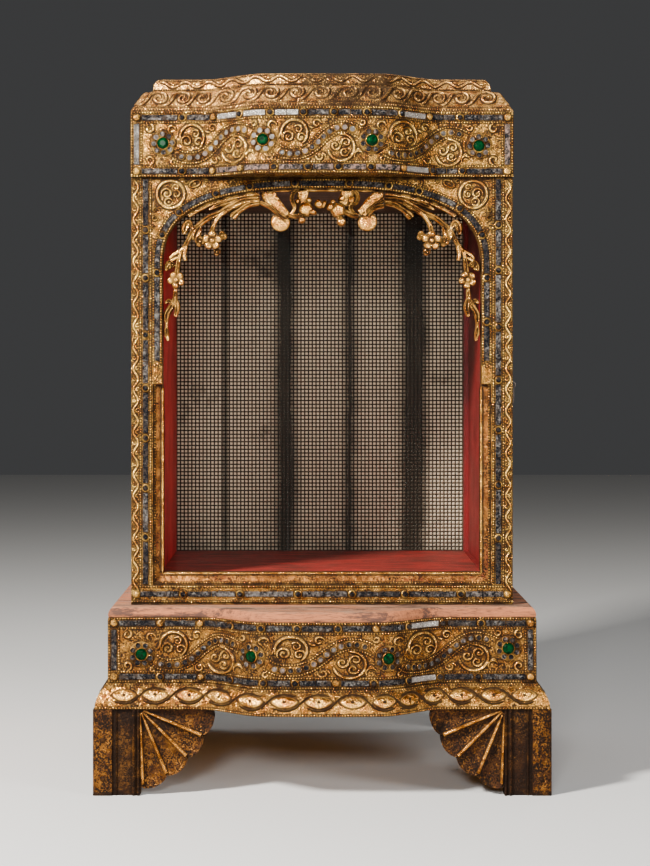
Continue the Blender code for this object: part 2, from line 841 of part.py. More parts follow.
def build_door():
    """The side door, hung on its rear edge and flush with the outside of the wall."""
    front_edge = door_gap_front + door_clearance
    rear_edge = door_gap_rear - door_clearance
    low, high = case_low + door_rail + door_clearance, case_high - door_rail - door_clearance
    axis_x = case_half + hinge_knuckle_radius + gap
    axis_y = door_gap_rear - door_clearance / 2
    pivot = bpy.data.objects.new("door_pivot", None)
    pivot.location = (axis_x, axis_y, low)
    shrine.objects.link(pivot)
    inside = case_half - door_thickness
    door = box("side_door", (inside, front_edge, low), (case_half, rear_edge, high), lacquer)
    hang(door, pivot)
    for label, z in (("lower", low + hinge_inset), ("upper", high - hinge_inset)):
        build_hinge(label, z, axis_x, axis_y, pivot)
    build_ring_pull(front_edge, low, high, pivot)


def hang(piece, pivot):
    """Parents a piece to its pivot without moving it."""
    bpy.context.view_layer.update()
    piece.parent = pivot
    piece.matrix_parent_inverse = pivot.matrix_world.inverted()


def knuckle(name, centre, low, high):
    bm = bmesh.new()
    radius = hinge_knuckle_radius
    bmesh.ops.create_cone(bm, cap_ends=True, segments=8, radius1=radius, radius2=radius, depth=high - low)
    bmesh.ops.translate(bm, vec=(centre[0], centre[1], (low + high) / 2), verts=bm.verts)
    mesh = bpy.data.meshes.new(name)
    bm.to_mesh(mesh)
    bm.free()
    return place_mesh(name, mesh, fittings, helpers)


def build_hinge(label, z, axis_x, axis_y, pivot):
    """A small butt hinge: the case leaf has the outer knuckles, the door leaf the middle one."""
    half, middle = hinge_height / 2, hinge_height / 6
    inner = hinge_knuckle_radius + gap
    low_x, high_x = case_half + gap, case_half + gap + hinge_leaf_thickness
    spans = {
        "case": ((-half, -middle - gap), (middle + gap, half)),
        "door": ((-middle, middle),),
    }
    for owner, side in (("case", 1), ("door", -1)):
        edges = sorted((axis_y + side * inner, axis_y + side * hinge_leaf_width))
        name = f"door_hinge_{label}_{owner}_leaf"
        leaf = box(name, (low_x, edges[0], z - half), (high_x, edges[1], z + half), fittings)
        parts = []
        for i, (low, high) in enumerate(spans[owner]):
            parts.append(knuckle(f"{name}_knuckle_{i}", (axis_x, axis_y), z + low, z + high))
            tab = sorted((axis_y, axis_y + side * (inner + hinge_leaf_thickness)))
            corners = (low_x, tab[0], z + low), (high_x, tab[1], z + high)
            parts.append(box(f"{name}_tab_{i}", *corners, fittings, helpers))
        unite(leaf, parts)
        if owner == "door":
            hang(leaf, pivot)


def torus(name, major, minor, major_steps, minor_steps, finish, group=None):
    bpy.ops.mesh.primitive_torus_add(
        major_radius=major, minor_radius=minor, major_segments=major_steps, minor_segments=minor_steps
    )
    made = bpy.context.active_object
    mesh = made.data
    bpy.data.objects.remove(made)
    mesh.name = name
    return place_mesh(name, mesh, finish, group)


def build_ring_pull(front_edge, low, high, pivot):
    """A screw eye near the door's free edge, with a ring that hangs in it."""
    pull_height = low + (high - low) * ring_share_of_height
    hole = Vector((case_half + eye_standoff, front_edge + ring_edge_inset, pull_height))
    eye = torus("pull_eye", eye_radius, eye_wire, 10, 6, fittings)
    eye.rotation_euler = (math.pi / 2, 0.0, 0.0)
    eye.location = hole
    bm = bmesh.new()
    shank_length = eye_standoff - eye_radius - gap
    bmesh.ops.create_cone(
        bm, cap_ends=True, segments=8, radius1=eye_wire * 1.3, radius2=eye_wire * 1.3, depth=shank_length
    )
    mesh = bpy.data.meshes.new("pull_shank")
    bm.to_mesh(mesh)
    bm.free()
    shank = place_mesh("pull_shank", mesh, fittings, helpers)
    shank.rotation_euler = (0.0, math.pi / 2, 0.0)
    shank.location = (case_half + gap + shank_length / 2, hole.y, hole.z)
    unite(eye, [shank])
    hang(eye, pivot)
    ring_pivot = bpy.data.objects.new("ring_pivot", None)
    ring_pivot.location = hole
    shrine.objects.link(ring_pivot)
    ring = torus("pull_ring", ring_radius, ring_wire, 16, 6, fittings)
    ring.rotation_euler = (0.0, math.pi / 2, 0.0)
    ring.location = hole - Vector((0.0, 0.0, ring_radius))
    hang(ring, ring_pivot)
    hang(ring_pivot, pivot)


def build_crown():
    """Frieze boards and the two tiers of the roof cap."""
    rear_y = frieze_front_y + frieze_depth_at_ends
    outline = [(frame_half, rear_y), (-frame_half, rear_y), (-frame_half, frieze_front_y)]
    outline += [(x, frieze_front_y - bow_at(x)) for x in bow_stations()]
    outline.append((frame_half, frieze_front_y))
    front = fret("frieze_front", [outline], frieze_low, frieze_high, gilding, upright=False)
    heights = (frieze_low, frieze_high)
    florets = (frieze_florets, frieze_floret_lifts)
    unite(front, carved_panel("frieze", frame_half, *heights, frieze_front_y, *florets))
    side_front = rear_y + gap
    for side, label in ((-1, "left"), (1, "right")):
        edges = sorted((side * frame_half, side * (frame_half - frieze_board)))
        low, high = (edges[0], side_front, frieze_low), (edges[1], case_back, frieze_high)
        box(f"frieze_{label}", low, high, gilding)
    across, near = frame_half - frieze_board - gap, case_back - frieze_board
    box("frieze_back", (-across, near, frieze_low), (across, case_back, frieze_high), aged_wood)
    build_caps()


def build_caps():
    setback, rise = cap_lower_setback, cap_lower_height
    profile = [(0.0, 0.0), (setback * 0.16, rise * 0.22), (setback * 0.57, rise * 0.80), (setback, rise)]
    rings = []
    for back, up in profile:
        rings.append(plan_ring(frame_half, frieze_front_y, case_back, cap_lower_low + up, back, back))
    lower = loft("roof_cap_lower", rings, gilding)
    surface = sloped_surface(frieze_front_y, cap_lower_low, profile)
    half = frame_half - setback * 0.5
    pitch = 2 * half / cap_spirals
    parts = []
    for i in range(cap_spirals):
        x = -half + pitch * (i + 0.5)
        turns = turned_curl((0.0, 0.0), 1.0, math.pi * 1.15, -1.05, 5, 0.40)
        path = [(x + pitch * 0.40 * across, cap_spiral_place + 0.24 * up) for across, up in turns]
        parts.append(ridge(f"cap_spiral_{i}", path, surface, cap_spiral_width, cap_spiral_height))
    unite(lower, parts)
    top, up = cap_upper_setback, cap_upper_height
    profile = [(0.0, 0.0), (top * 0.06, up * 0.42), (top * 0.40, up * 0.82), (top, up)]
    rings = []
    for back, rise in profile:
        inset = setback + back
        rings.append(plan_ring(frame_half, frieze_front_y, case_back, cap_upper_low + rise, inset, inset))
    loft("roof_cap_upper", rings, gilding)


def tracery_point(share):
    """A point given as shares of the opening's half width and the arch's rise, from the spring line."""
    across, up = share
    return across * opening_half_width, arch_spring + up * arch_rise


def smooth_path(points, steps):
    """A curve through the points, with the given steps between neighbours."""
    spots = [Vector(point) for point in points]
    made = []
    count = len(spots)
    for i in range(count - 1):
        start, end = spots[i], spots[i + 1]
        leave = (end - spots[max(i - 1, 0)]) / 2
        arrive = (spots[min(i + 2, count - 1)] - start) / 2
        for k in range(steps):
            t = k / steps
            square, cube = t * t, t ** 3
            place = start * (2 * cube - 3 * square + 1) + end * (3 * square - 2 * cube)
            made.append(place + leave * (cube - 2 * square + t) + arrive * (cube - square))
    made.append(spots[-1])
    return made


def stem(name, shares, widths, steps=2, crown=0.0025):
    """A carved stem or leaf of the tracery, flat behind and ridged in front."""
    controls = [(*tracery_point(share), width * opening_half_width) for share, width in zip(shares, widths)]
    front, back = case_front + tracery_setback, case_front + tracery_setback + tracery_thickness
    path = smooth_path(controls, steps)
    sections = []
    for i, (x, z, width) in enumerate(path):
        before, after = path[max(i - 1, 0)], path[min(i + 1, len(path) - 1)]
        along = Vector((after[0] - before[0], 0.0, after[1] - before[1])).normalized()
        side = Vector((-along.z, 0.0, along.x)) * width / 2
        centre = Vector((x, 0.0, z))
        shoulder = front + crown
        sections.append([
            Vector((0.0, back, 0.0)) + centre - side, Vector((0.0, shoulder, 0.0)) + centre - side,
            Vector((0.0, front, 0.0)) + centre,
            Vector((0.0, shoulder, 0.0)) + centre + side, Vector((0.0, back, 0.0)) + centre + side,
        ])
    return bar_mesh(name, sections, gilding, False, helpers)


def blossom(name, share, radius, lobes=5, lift=0.0):
    """A small carved flower or bud of the tracery."""
    x, z = tracery_point(share)
    front = case_front + tracery_setback - lift * opening_half_width
    back = case_front + tracery_setback + tracery_thickness * blossom_depth_share
    rings = []
    for y, scale in ((back, 1.0), (front, 0.86)):
        ring = []
        for i in range(2 * lobes):
            angle = math.pi * i / lobes + 0.3
            reach = radius * opening_half_width * scale * (1.0 if i % 2 else 0.80)
            ring.append((x + reach * math.cos(angle), y, z + reach * math.sin(angle)))
        rings.append(ring)
    return loft(name, rings, gilding, helpers)


def tracery_field(name, left, right):
    """The part of the arched opening between two x values, which the carving keeps within."""
    arch = arch_points(opening_half_width - tracery_fit, arch_rise - tracery_fit, arch_spring, arch_steps)
    inside = [(x, z) for x, z in arch if left < x < right]
    foot = arch_spring - arch_rise
    ends = []
    for x in (left, right):
        x = min(max(x, arch[0][0]), arch[-1][0])
        for (x_a, z_a), (x_b, z_b) in zip(arch, arch[1:]):
            if x_a <= x <= x_b and x_b > x_a:
                ends.append((x, z_a + (z_b - z_a) * (x - x_a) / (x_b - x_a)))
                break
    outline = [ends[0], *[spot for spot in inside if spot not in ends], ends[1]]
    outline += [(ends[1][0], foot), (ends[0][0], foot)]
    reach = tracery_thickness
    front, back = case_front + tracery_setback - reach, case_front + tracery_setback + 2 * reach
    return fret(name, [outline], front, back, gilding, group=helpers)


def keep_within(piece, field):
    """Trims a piece to a field."""
    field.hide_render = True
    field.display_type = "WIRE"
    trim = piece.modifiers.new("trim", "BOOLEAN")
    trim.operation = "INTERSECT"
    trim.object = field
    trim.solver = "EXACT"


def build_tracery():
    for side, label in ((-1, "left"), (1, "right")):
        build_side_tracery(side, label)
    build_centre_tracery()


# Stems and leaves of one side. Across and width are shares of the opening's half width, and up is a
# share of the arch's rise: (across, up, width)
side_stem_path = (
    (0.37, 0.872, 0.093), (0.56, 0.835, 0.085), (0.72, 0.70, 0.048), (0.80, 0.52, 0.034),
    (0.845, 0.36, 0.027), (0.905, 0.14, 0.025), (0.925, -0.10, 0.025),
)
side_leaf_paths = {
    "upper_leaf": ((0.52, 0.80, 0.057), (0.57, 0.68, 0.042), (0.585, 0.60, 0.028)),
    "flower_stem": ((0.66, 0.74, 0.031), (0.68, 0.56, 0.024), (0.70, 0.42, 0.028)),
    "leaf": ((0.80, 0.56, 0.034), (0.86, 0.57, 0.062), (0.885, 0.60, 0.048)),
    "curl": ((0.835, 0.36, 0.023), (0.855, 0.20, 0.022), (0.850, 0.08, 0.034)),
    "side_leaf": ((0.90, 0.02, 0.028), (0.945, 0.07, 0.051), (0.972, 0.04, 0.034)),
    "foot": (
        (0.925, -0.10, 0.025), (0.945, -0.36, 0.041), (0.955, -0.56, 0.036),
        (0.982, -0.70, 0.018), (0.985, -0.86, 0.025),
    ),
    "foot_leaf": ((0.940, -0.34, 0.028), (0.915, -0.50, 0.042), (0.905, -0.60, 0.020)),
}

# Flowers and buds of one side: across, up, radius, lobes and lift, in the same shares
side_blossoms = {
    "flower_high": (0.70, 0.36, 0.054, 5, 0.011),
    "flower_low": (0.922, -0.14, 0.052, 5, 0.011),
    "bud_a": (0.645, 0.41, 0.029, 3, 0.000),
    "bud_b": (0.682, 0.25, 0.029, 3, 0.000),
    "bud_c": (0.765, 0.40, 0.035, 4, 0.000),
}


def side_stem(side, name, path):
    """A stem of one side's carving, mirrored for the other side."""
    return stem(name, [(side * u, v) for u, v, width in path], [width for u, v, width in path])


def build_side_tracery(side, label):
    """Leaf stems that fall from the seam, two flowers, buds, and a leaf at the foot."""
    root = side_stem(side, f"arch_tracery_{label}", side_stem_path)
    helpers.objects.unlink(root)
    shrine.objects.link(root)
    parts = [side_stem(side, f"{label}_{name}", path) for name, path in side_leaf_paths.items()]
    for name, (share_across, share_up, radius, lobes, lift) in side_blossoms.items():
        parts.append(blossom(f"{label}_{name}", (side * share_across, share_up), radius, lobes, lift))
    unite(root, parts)
    limits = sorted((side * (tracery_seam + gap / 2), side * opening_half_width))
    keep_within(root, tracery_field(f"{label}_field", *limits))


# Leaves and buds of one half of the centre piece, in the same terms
centre_rail = ((-0.41, 0.972), (0.0, 0.982), (0.41, 0.972))
centre_rail_width = 0.025
centre_leaf_paths = {
    "end": ((0.41, 0.88, 0.108), (0.345, 0.80, 0.074), (0.285, 0.66, 0.040)),
    "link": ((0.30, 0.68, 0.042), (0.22, 0.665, 0.034), (0.14, 0.71, 0.045)),
    "wing": ((0.15, 0.68, 0.068), (0.175, 0.86, 0.057), (0.155, 0.985, 0.045)),
    "neck": ((0.16, 0.74, 0.085), (0.09, 0.73, 0.057), (0.0, 0.75, 0.028)),
    "curl_stem": ((0.14, 0.70, 0.028), (0.125, 0.60, 0.023)),
}
centre_blossoms = {
    "disc": (0.256, 0.56, 0.057, 6, 0.000),
    "curl": (0.125, 0.565, 0.024, 4, 0.000),
}


def build_centre_tracery():
    """End leaves, two discs, and a pair of bird-like leaves under a thin top rail."""
    root = stem("arch_tracery_centre", centre_rail, [centre_rail_width] * len(centre_rail), 4, 0.001)
    helpers.objects.unlink(root)
    shrine.objects.link(root)
    parts = []
    for side, label in ((-1, "left"), (1, "right")):
        for name, path in centre_leaf_paths.items():
            parts.append(side_stem(side, f"centre_{label}_{name}", path))
        for name, (share_across, share_up, radius, lobes, lift) in centre_blossoms.items():
            spot = (side * share_across, share_up)
            parts.append(blossom(f"centre_{label}_{name}", spot, radius, lobes, lift))
    unite(root, parts)
    keep_within(root, tracery_field("centre_field", -tracery_seam + gap / 2, tracery_seam - gap / 2))


build_feet()
build_foot_moulding()
build_plinth()
build_front_frame()
build_slips()
build_tracery()
build_case()
build_door()
build_crown()
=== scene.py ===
"""Looks of the gilded temple shrine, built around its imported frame.

Metres, +Z up, front towards -Y. Raised lacquer threads, beads, mirror inlay and carving are mesh here.
"""

import math

import bpy
import numpy as np
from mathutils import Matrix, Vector


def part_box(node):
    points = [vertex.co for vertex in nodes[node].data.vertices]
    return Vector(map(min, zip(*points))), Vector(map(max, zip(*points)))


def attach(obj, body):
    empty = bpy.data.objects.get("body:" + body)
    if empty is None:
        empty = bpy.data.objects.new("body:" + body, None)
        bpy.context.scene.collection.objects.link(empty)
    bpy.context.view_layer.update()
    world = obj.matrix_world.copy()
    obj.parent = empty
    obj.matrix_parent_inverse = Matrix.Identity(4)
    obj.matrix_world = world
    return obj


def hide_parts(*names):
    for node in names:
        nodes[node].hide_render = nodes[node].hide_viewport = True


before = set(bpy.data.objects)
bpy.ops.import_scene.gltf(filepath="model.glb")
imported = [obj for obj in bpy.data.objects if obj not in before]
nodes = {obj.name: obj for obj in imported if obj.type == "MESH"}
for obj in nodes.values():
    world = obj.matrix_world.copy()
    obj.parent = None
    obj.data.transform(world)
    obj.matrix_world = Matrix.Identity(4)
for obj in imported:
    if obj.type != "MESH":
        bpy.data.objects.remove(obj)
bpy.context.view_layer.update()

# Places taken from the frame
gap = 0.0003
case_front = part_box("case_left_side")[0].y - 0.020 - gap
case_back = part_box("back_board_1")[1].y
foot_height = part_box("foot_back_left_face")[1].z
moulding_low = foot_height + gap
plinth_low, plinth_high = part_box("plinth_left")[0].z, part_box("plinth_left")[1].z
plinth_top_low, plinth_top_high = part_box("plinth_top")[0].z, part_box("plinth_top")[1].z
case_low, case_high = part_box("case_left_side")[0].z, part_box("case_left_side")[1].z
frieze_low, frieze_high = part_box("frieze_left")[0].z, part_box("frieze_left")[1].z
cap_lower_low, cap_lower_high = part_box("roof_cap_lower")[0].z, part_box("roof_cap_upper")[0].z - gap
cap_upper_low, cap_upper_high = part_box("roof_cap_upper")[0].z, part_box("roof_cap_upper")[1].z
frame_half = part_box("front_frame")[1].x
plinth_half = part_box("plinth_right")[1].x
moulding_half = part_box("foot_moulding")[1].x
plinth_back_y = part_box("plinth_back")[1].y
moulding_back_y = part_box("foot_moulding")[1].y
frieze_front_y = case_front - 0.004
plinth_front_y = case_front - 0.023
moulding_front_y = plinth_front_y - 0.015
frame_thickness = 0.020
moulding_height = plinth_low - gap - moulding_low
ornament_room = 0.0018

# Bow of the crown and plinth fronts
bow = 0.045
bow_crest = 0.062
bow_start = 0.134
bow_crest_fall = 0.002
bow_steps = 26

# Opening of the frame
opening_half_width = frame_half - 0.0345
arch_rise = 0.0884
arch_power = 2.7
arch_crown = case_high - 0.0116
arch_spring = arch_crown - arch_rise
opening_low = case_low + 0.0216
slip_width = 0.0105
slip_depth = 0.0125
slip_slope = 0.006
slip_high = opening_low + 0.222

# Raised lacquer threads and beads
thread_width = 0.0023
thread_height = 0.0021
bead_pitch = 0.0030
bead_radius = 0.00112
strip_height = 0.0062
rail_inset = 0.0117
stud_radius = 0.0029
mirror_radius = 0.0030
ornament_crease = 75.0
rim_inset = 0.0012
strip_inset = 0.0064


def bow_at(x):
    """How far the bowed fronts stand forward at x."""
    away = np.abs(x)
    crest = bow - bow_crest_fall * (away / bow_crest) ** 2
    t = (bow_start - away) / (bow_start - bow_crest)
    ogee = (bow - bow_crest_fall) * t * t * (3 - 2 * t)
    return np.where(away >= bow_start, 0.0, np.where(away <= bow_crest, crest, ogee))


def bow_slope(x):
    """How fast the bow comes forward at x."""
    step = 0.0005
    return (bow_at(x + step) - bow_at(x - step)) / (2 * step)


def unit(vectors):
    """Vectors brought to length 1."""
    length = np.linalg.norm(vectors, axis=-1, keepdims=True)
    return vectors / np.maximum(length, 1e-12)


# A face is a function of (u, v) arrays that gives points on a surface and its outward normals.


def flat_face(front):
    """The upright face at Y = front, with u across and v up."""
    def at(u, v):
        points = np.stack((u, np.full_like(u, front), v), -1)
        return points, np.broadcast_to((0.0, -1.0, 0.0), points.shape)
    return at


def side_face(x, side):
    """The upright face at X = x of the left (-1) or right (1) side, with u along Y."""
    def at(u, v):
        points = np.stack((np.full_like(u, x), u, v), -1)
        return points, np.broadcast_to((float(side), 0.0, 0.0), points.shape)
    return at


def bowed_face(front):
    """The upright bowed face whose flat ends are at Y = front."""
    def at(u, v):
        points = np.stack((u, front - bow_at(u), v), -1)
        normals = np.stack((-bow_slope(u), -np.ones_like(u), np.zeros_like(u)), -1)
        return points, unit(normals)
    return at


def run_lengths(points):
    """Distance along a line of points to each of them."""
    return np.concatenate(((0.0,), np.cumsum(np.linalg.norm(np.diff(points, axis=0), axis=1))))


def slope_places(profile, v):
    """Setback and rise at the distance v up a profile, and the direction there."""
    profile = np.array(profile)
    lengths = run_lengths(profile)
    step = 0.0004
    places = []
    for distance in (v, v - step, v + step):
        distance = np.clip(distance, 0.0, lengths[-1])
        places.append([np.interp(distance, lengths, profile[:, k]) for k in (0, 1)])
    (back, up), (back_a, up_a), (back_b, up_b) = places
    return back, up, back_b - back_a, up_b - up_a


def sloped_face(front, low, profile):
    """The bowed sloping front of a moulding; v is the distance up its (setback, rise) profile."""
    def at(u, v):
        back, up, lean, climb = slope_places(profile, v)
        points = np.stack((u, front + back - bow_at(u), low + up), -1)
        return points, unit(np.stack((-bow_slope(u) * climb, -climb, lean), -1))
    return at


def sloped_side(half, side, low, profile):
    """The sloping left or right end of a moulding, with u along Y."""
    def at(u, v):
        back, up, lean, climb = slope_places(profile, v)
        points = np.stack((side * (half - back), u, low + up), -1)
        return points, unit(np.stack((side * climb, np.zeros_like(u), lean), -1))
    return at


class Shape:
    """Points and faces of a piece, gathered part by part. Shade and grime is how dark a point is painted,
    from 0 to 1: painted shade in crevices and at the feet of raised work, together with dirt.
    """

    def __init__(self, material, crease=35.0):
        self.material = material
        self.crease = crease
        self.points = []
        self.faces = []
        self.marks = {"grime": [], "tone": [], "blush": []}
        self.count = 0

    def add(self, points, faces, grime=0.0, tone=0.0, blush=0.0):
        points = np.asarray(points, float).reshape(-1, 3)
        self.points.append(points)
        for face in faces:
            self.faces.append([self.count + int(i) for i in face])
        for name, value in (("grime", grime), ("tone", tone), ("blush", blush)):
            value = np.broadcast_to(np.asarray(value, float).reshape(-1), (len(points),))
            self.marks[name].append(value)
        self.count += len(points)

    def grid(self, points, closed_rows=False, closed_columns=False, ends=False, **marks):
        """Faces between rows of points. Rows and columns may be closed, and the two end rows filled."""
        rows, columns = points.shape[:2]
        row = np.arange(rows if closed_columns else rows - 1)[:, None]
        column = np.arange(columns if closed_rows else columns - 1)[None, :]
        after, beside = (row + 1) % rows, (column + 1) % columns
        corners = (row * columns + column, row * columns + beside)
        corners += (after * columns + beside, after * columns + column)
        faces = np.stack(corners, -1).reshape(-1, 4).tolist()
        if ends:
            faces.append(list(range(columns))[::-1])
            faces.append(list(range((rows - 1) * columns, rows * columns)))
        self.add(points, faces, **marks)

    def take(self, mesh, **marks):
        """Adds a whole Blender mesh."""
        points = np.zeros(len(mesh.vertices) * 3)
        mesh.vertices.foreach_get("co", points)
        self.add(points, [list(polygon.vertices) for polygon in mesh.polygons], **marks)


def make(name, shapes, body="shrine", replaces=()):
    """One object from its shapes, riding on a body of the frame."""
    made = []
    for shape in shapes:
        mesh = bpy.data.meshes.new(name)
        mesh.from_pydata(np.concatenate(shape.points).tolist(), [], shape.faces)
        for mark, values in shape.marks.items():
            attribute = mesh.attributes.new(mark, "FLOAT", "POINT")
            attribute.data.foreach_set("value", np.concatenate(values).astype(np.float32))
        mesh.validate()
        mesh.shade_smooth()
        mesh.set_sharp_from_angle(angle=math.radians(shape.crease))
        mesh.materials.append(shape.material)
        part = bpy.data.objects.new(name, mesh)
        bpy.context.scene.collection.objects.link(part)
        made.append(part)
    whole = made[0]
    if len(made) > 1:
        bpy.ops.object.select_all(action="DESELECT")
        for part in made:
            part.select_set(True)
        bpy.context.view_layer.objects.active = whole
        bpy.ops.object.join()
    whole.name = name
    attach(whole, body)
    if replaces:
        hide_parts(*replaces)
    return whole


def plan_ring(half, front, back, z, setback=0.0, back_setback=0.0):
    """The plan outline of a bowed block at one height."""
    x = np.linspace(-bow_start, bow_start, 2 * bow_steps + 1)
    left, right = -half + setback, half - setback
    xs = np.concatenate(((right, left, left), x, (right,)))
    ys = np.concatenate(((back - back_setback,) * 2, (front + setback,), front + setback - bow_at(x)))
    ys = np.concatenate((ys, (front + setback,)))
    return np.stack((xs, ys, np.full_like(xs, z)), -1)


def loft(shape, rings, **marks):
    """A closed body through a stack of rings."""
    shape.grid(np.array(rings), closed_rows=True, ends=True, **marks)


def spaced(face, path, pitch, closed=False):
    """The path resampled so that its points lie about one pitch apart on the face."""
    path = np.asarray(path, float)
    if closed:
        path = np.vstack((path, path[:1]))
    lengths = run_lengths(face(path[:, 0], path[:, 1])[0])
    count = max(int(round(lengths[-1] / pitch)), 2)
    distances = np.linspace(0.0, lengths[-1], count + 1)
    if closed:
        distances = distances[:-1]
    return np.stack([np.interp(distances, lengths, path[:, k]) for k in (0, 1)], -1)


def level_line(low_u, high_u, v, count):
    """A level path on a face."""
    us = np.linspace(low_u, high_u, count)
    return np.stack((us, np.full_like(us, v)), -1)


def upright_line(u, low_v, high_v, count):
    """An upright path on a face."""
    vs = np.linspace(low_v, high_v, count)
    return np.stack((np.full_like(vs, u), vs), -1)


def around(centre, reach, angles):
    """Spots at a distance round a centre."""
    return np.stack((centre[0] + reach * np.cos(angles), centre[1] + reach * np.sin(angles)), -1)


def turns_of(count):
    """Equal angles of a full turn."""
    return np.linspace(0.0, math.tau, count + 1)[:-1]


def wave_line(low_u, high_u, count, base, swing, pitch):
    """A level path that waves about v = base."""
    us = np.linspace(low_u, high_u, count)
    return np.stack((us, base + swing * np.sin(math.tau * us / pitch)), -1)


def profile_of(radius, *steps):
    """A turned profile from steps of (share of the radius, lift)."""
    return [(radius * share, lift) for share, lift in steps]


def sweep(shape, face, path, across, lifts, closed=False, scale=None, **marks):
    """Raised ornament along a path, with the places of its cross section across and off the face."""
    points, normals = face(path[:, 0], path[:, 1])
    if closed:
        along = np.roll(points, -1, axis=0) - np.roll(points, 1, axis=0)
    else:
        along = np.gradient(points, axis=0)
    side = unit(np.cross(normals, unit(along)))
    size = np.ones(len(path)) if scale is None else scale
    across = np.asarray(across)[None, :] * size[:, None]
    lifts = np.asarray(lifts)[None, :] * size[:, None]
    grid = points[:, None] + side[:, None] * across[..., None] + normals[:, None] * lifts[..., None]
    for name, value in list(marks.items()):
        if np.ndim(value):
            marks[name] = np.broadcast_to(np.asarray(value)[None, :], grid.shape[:2])
    shape.grid(grid, closed_columns=closed, ends=not closed, **marks)


def thread(shape, face, path, width=thread_width, height=thread_height, closed=False, taper=True,
           crest=0.0):
    """A raised lacquer thread with a fillet along both feet painted dark with shade and dirt; crest is how
    dirty its top is.
    """
    path = spaced(face, path, 0.0016, closed)
    across = np.array((-1.22, -1.10, -0.54, -0.35, 0.0, 0.35, 0.54, 1.10, 1.22)) * width
    lifts = np.array((-0.12, 0.04, 0.12, 0.76, 1.0, 0.76, 0.12, 0.04, -0.12)) * height
    size = np.ones(len(path))
    if taper and not closed:
        ends = min(4, len(path) // 2)
        ramp = np.linspace(0.45, 1.0, ends)
        size[:ends] = ramp
        size[-ends:] = ramp[::-1]
    # Painted shade and dirt on the fillets at the thread's feet; the crest takes its own value
    grime = (1.0, 1.0, 1.0, crest, crest, crest, 1.0, 1.0, 1.0)
    sweep(shape, face, path, across, lifts, closed, size, grime=grime)


def turned(shape, face, spots, profile, sides=6, phase=0.0, **marks):
    """Round bosses at many spots, from a (radius, lift) profile that may end at radius 0."""
    spots = np.asarray(spots, float).reshape(-1, 2)
    points, normals = face(spots[:, 0], spots[:, 1])
    across = unit(np.cross(np.array((0.0, 0.0, 1.0)), normals))
    up = np.cross(normals, across)
    angles = phase + turns_of(sides)
    spoke = across[:, None] * np.cos(angles)[:, None] + up[:, None] * np.sin(angles)[:, None]
    rings = list(profile)
    tip = rings.pop() if rings[-1][0] == 0.0 else None
    layers = [points[:, None] + spoke * reach + normals[:, None] * lift for reach, lift in rings]
    layers = np.stack(layers, 1)
    grime = marks.pop("grime", None)
    for i, boss in enumerate(layers):
        values = {name: (value[i] if np.ndim(value) else value) for name, value in marks.items()}
        block = boss.reshape(-1, 3)
        # stain holds the painted shade and dirt of each ring of a boss
        stain = np.repeat(np.zeros(len(rings)) if grime is None else np.asarray(grime)[:len(rings)], sides)
        faces = []
        for k in range(len(rings) - 1):
            for j in range(sides):
                n = (j + 1) % sides
                faces.append((k * sides + j, k * sides + n, (k + 1) * sides + n, (k + 1) * sides + j))
        last = (len(rings) - 1) * sides
        if tip is None:
            faces.append(tuple(range(last, last + sides)))
        else:
            block = np.vstack((block, points[i] + normals[i] * tip[1]))
            stain = np.append(stain, 0.0 if grime is None else grime[-1])
            faces += [(last + j, last + (j + 1) % sides, last + sides) for j in range(sides)]
        shape.add(block, faces, grime=stain, **values)


def boss(shape, face, spot, foot, shoulder, rise, tip, sides=8, grime=(1.0, 0.1, 0.0)):
    """A small round boss: the radii of its foot and shoulder, the lift of its shoulder and its height."""
    turned(shape, face, [spot], ((foot, 0.0), (shoulder, rise), (0.0, tip)), sides, grime=grime)


def beaded(shape, face, path, closed=False, radius=bead_radius, pitch=bead_pitch):
    """A line of beads on a bed painted dark with shade and dirt."""
    bed = spaced(face, path, 0.0024, closed)
    across = np.array((-1.40, -1.15, 1.15, 1.40)) * radius
    lifts = (-0.0002, 0.00022, 0.00022, -0.0002)
    # The bed between the beads is painted dark: shade and dirt
    sweep(shape, face, bed, across, lifts, closed, grime=1.0)
    spots = spaced(face, path, pitch, closed)
    profile = ((radius, 0.0001), (radius * 0.82, radius * 0.75), (0.0, radius * 1.18))
    turned(shape, face, spots, profile, 6, grime=(1.0, 0.0, 0.0))


def curl(centre, radius, start, turns, tightness, stretch=1.0, steps=40):
    """Points of a spiral that winds inwards. Positive turns run anticlockwise."""
    share = np.linspace(0.0, 1.0, steps)
    reach = radius * (1 - (1 - tightness) * share)
    angle = start + math.tau * turns * share
    return np.stack((centre[0] + stretch * reach * np.cos(angle), centre[1] + reach * np.sin(angle)), -1)


def smooth_path(points, steps=8):
    """A smooth curve through the points."""
    spots = [np.array(point, float) for point in points]
    made = []
    last = len(spots) - 1
    for i in range(last):
        start, end = spots[i], spots[i + 1]
        leave = (end - spots[max(i - 1, 0)]) / 2
        arrive = (spots[min(i + 2, last)] - start) / 2
        for k in range(steps):
            t = k / steps
            square, cube = t * t, t ** 3
            place = start * (2 * cube - 3 * square + 1) + end * (3 * square - 2 * cube)
            made.append(place + leave * (cube - 2 * square + t) + arrive * (cube - square))
    made.append(spots[-1])
    return np.array(made)


def arch_path(grow, grow_up=None):
    """The arch over the opening, grown outwards, from its left spring to its right spring."""
    half, rise = opening_half_width + grow, arch_rise + (grow if grow_up is None else grow_up)
    angle = np.linspace(math.pi, 0.0, 90)
    power = 2 / arch_power
    across = np.sign(np.cos(angle)) * np.abs(np.cos(angle)) ** power * half
    return np.stack((across, arch_spring + rise * np.abs(np.sin(angle)) ** power), -1)


# Materials


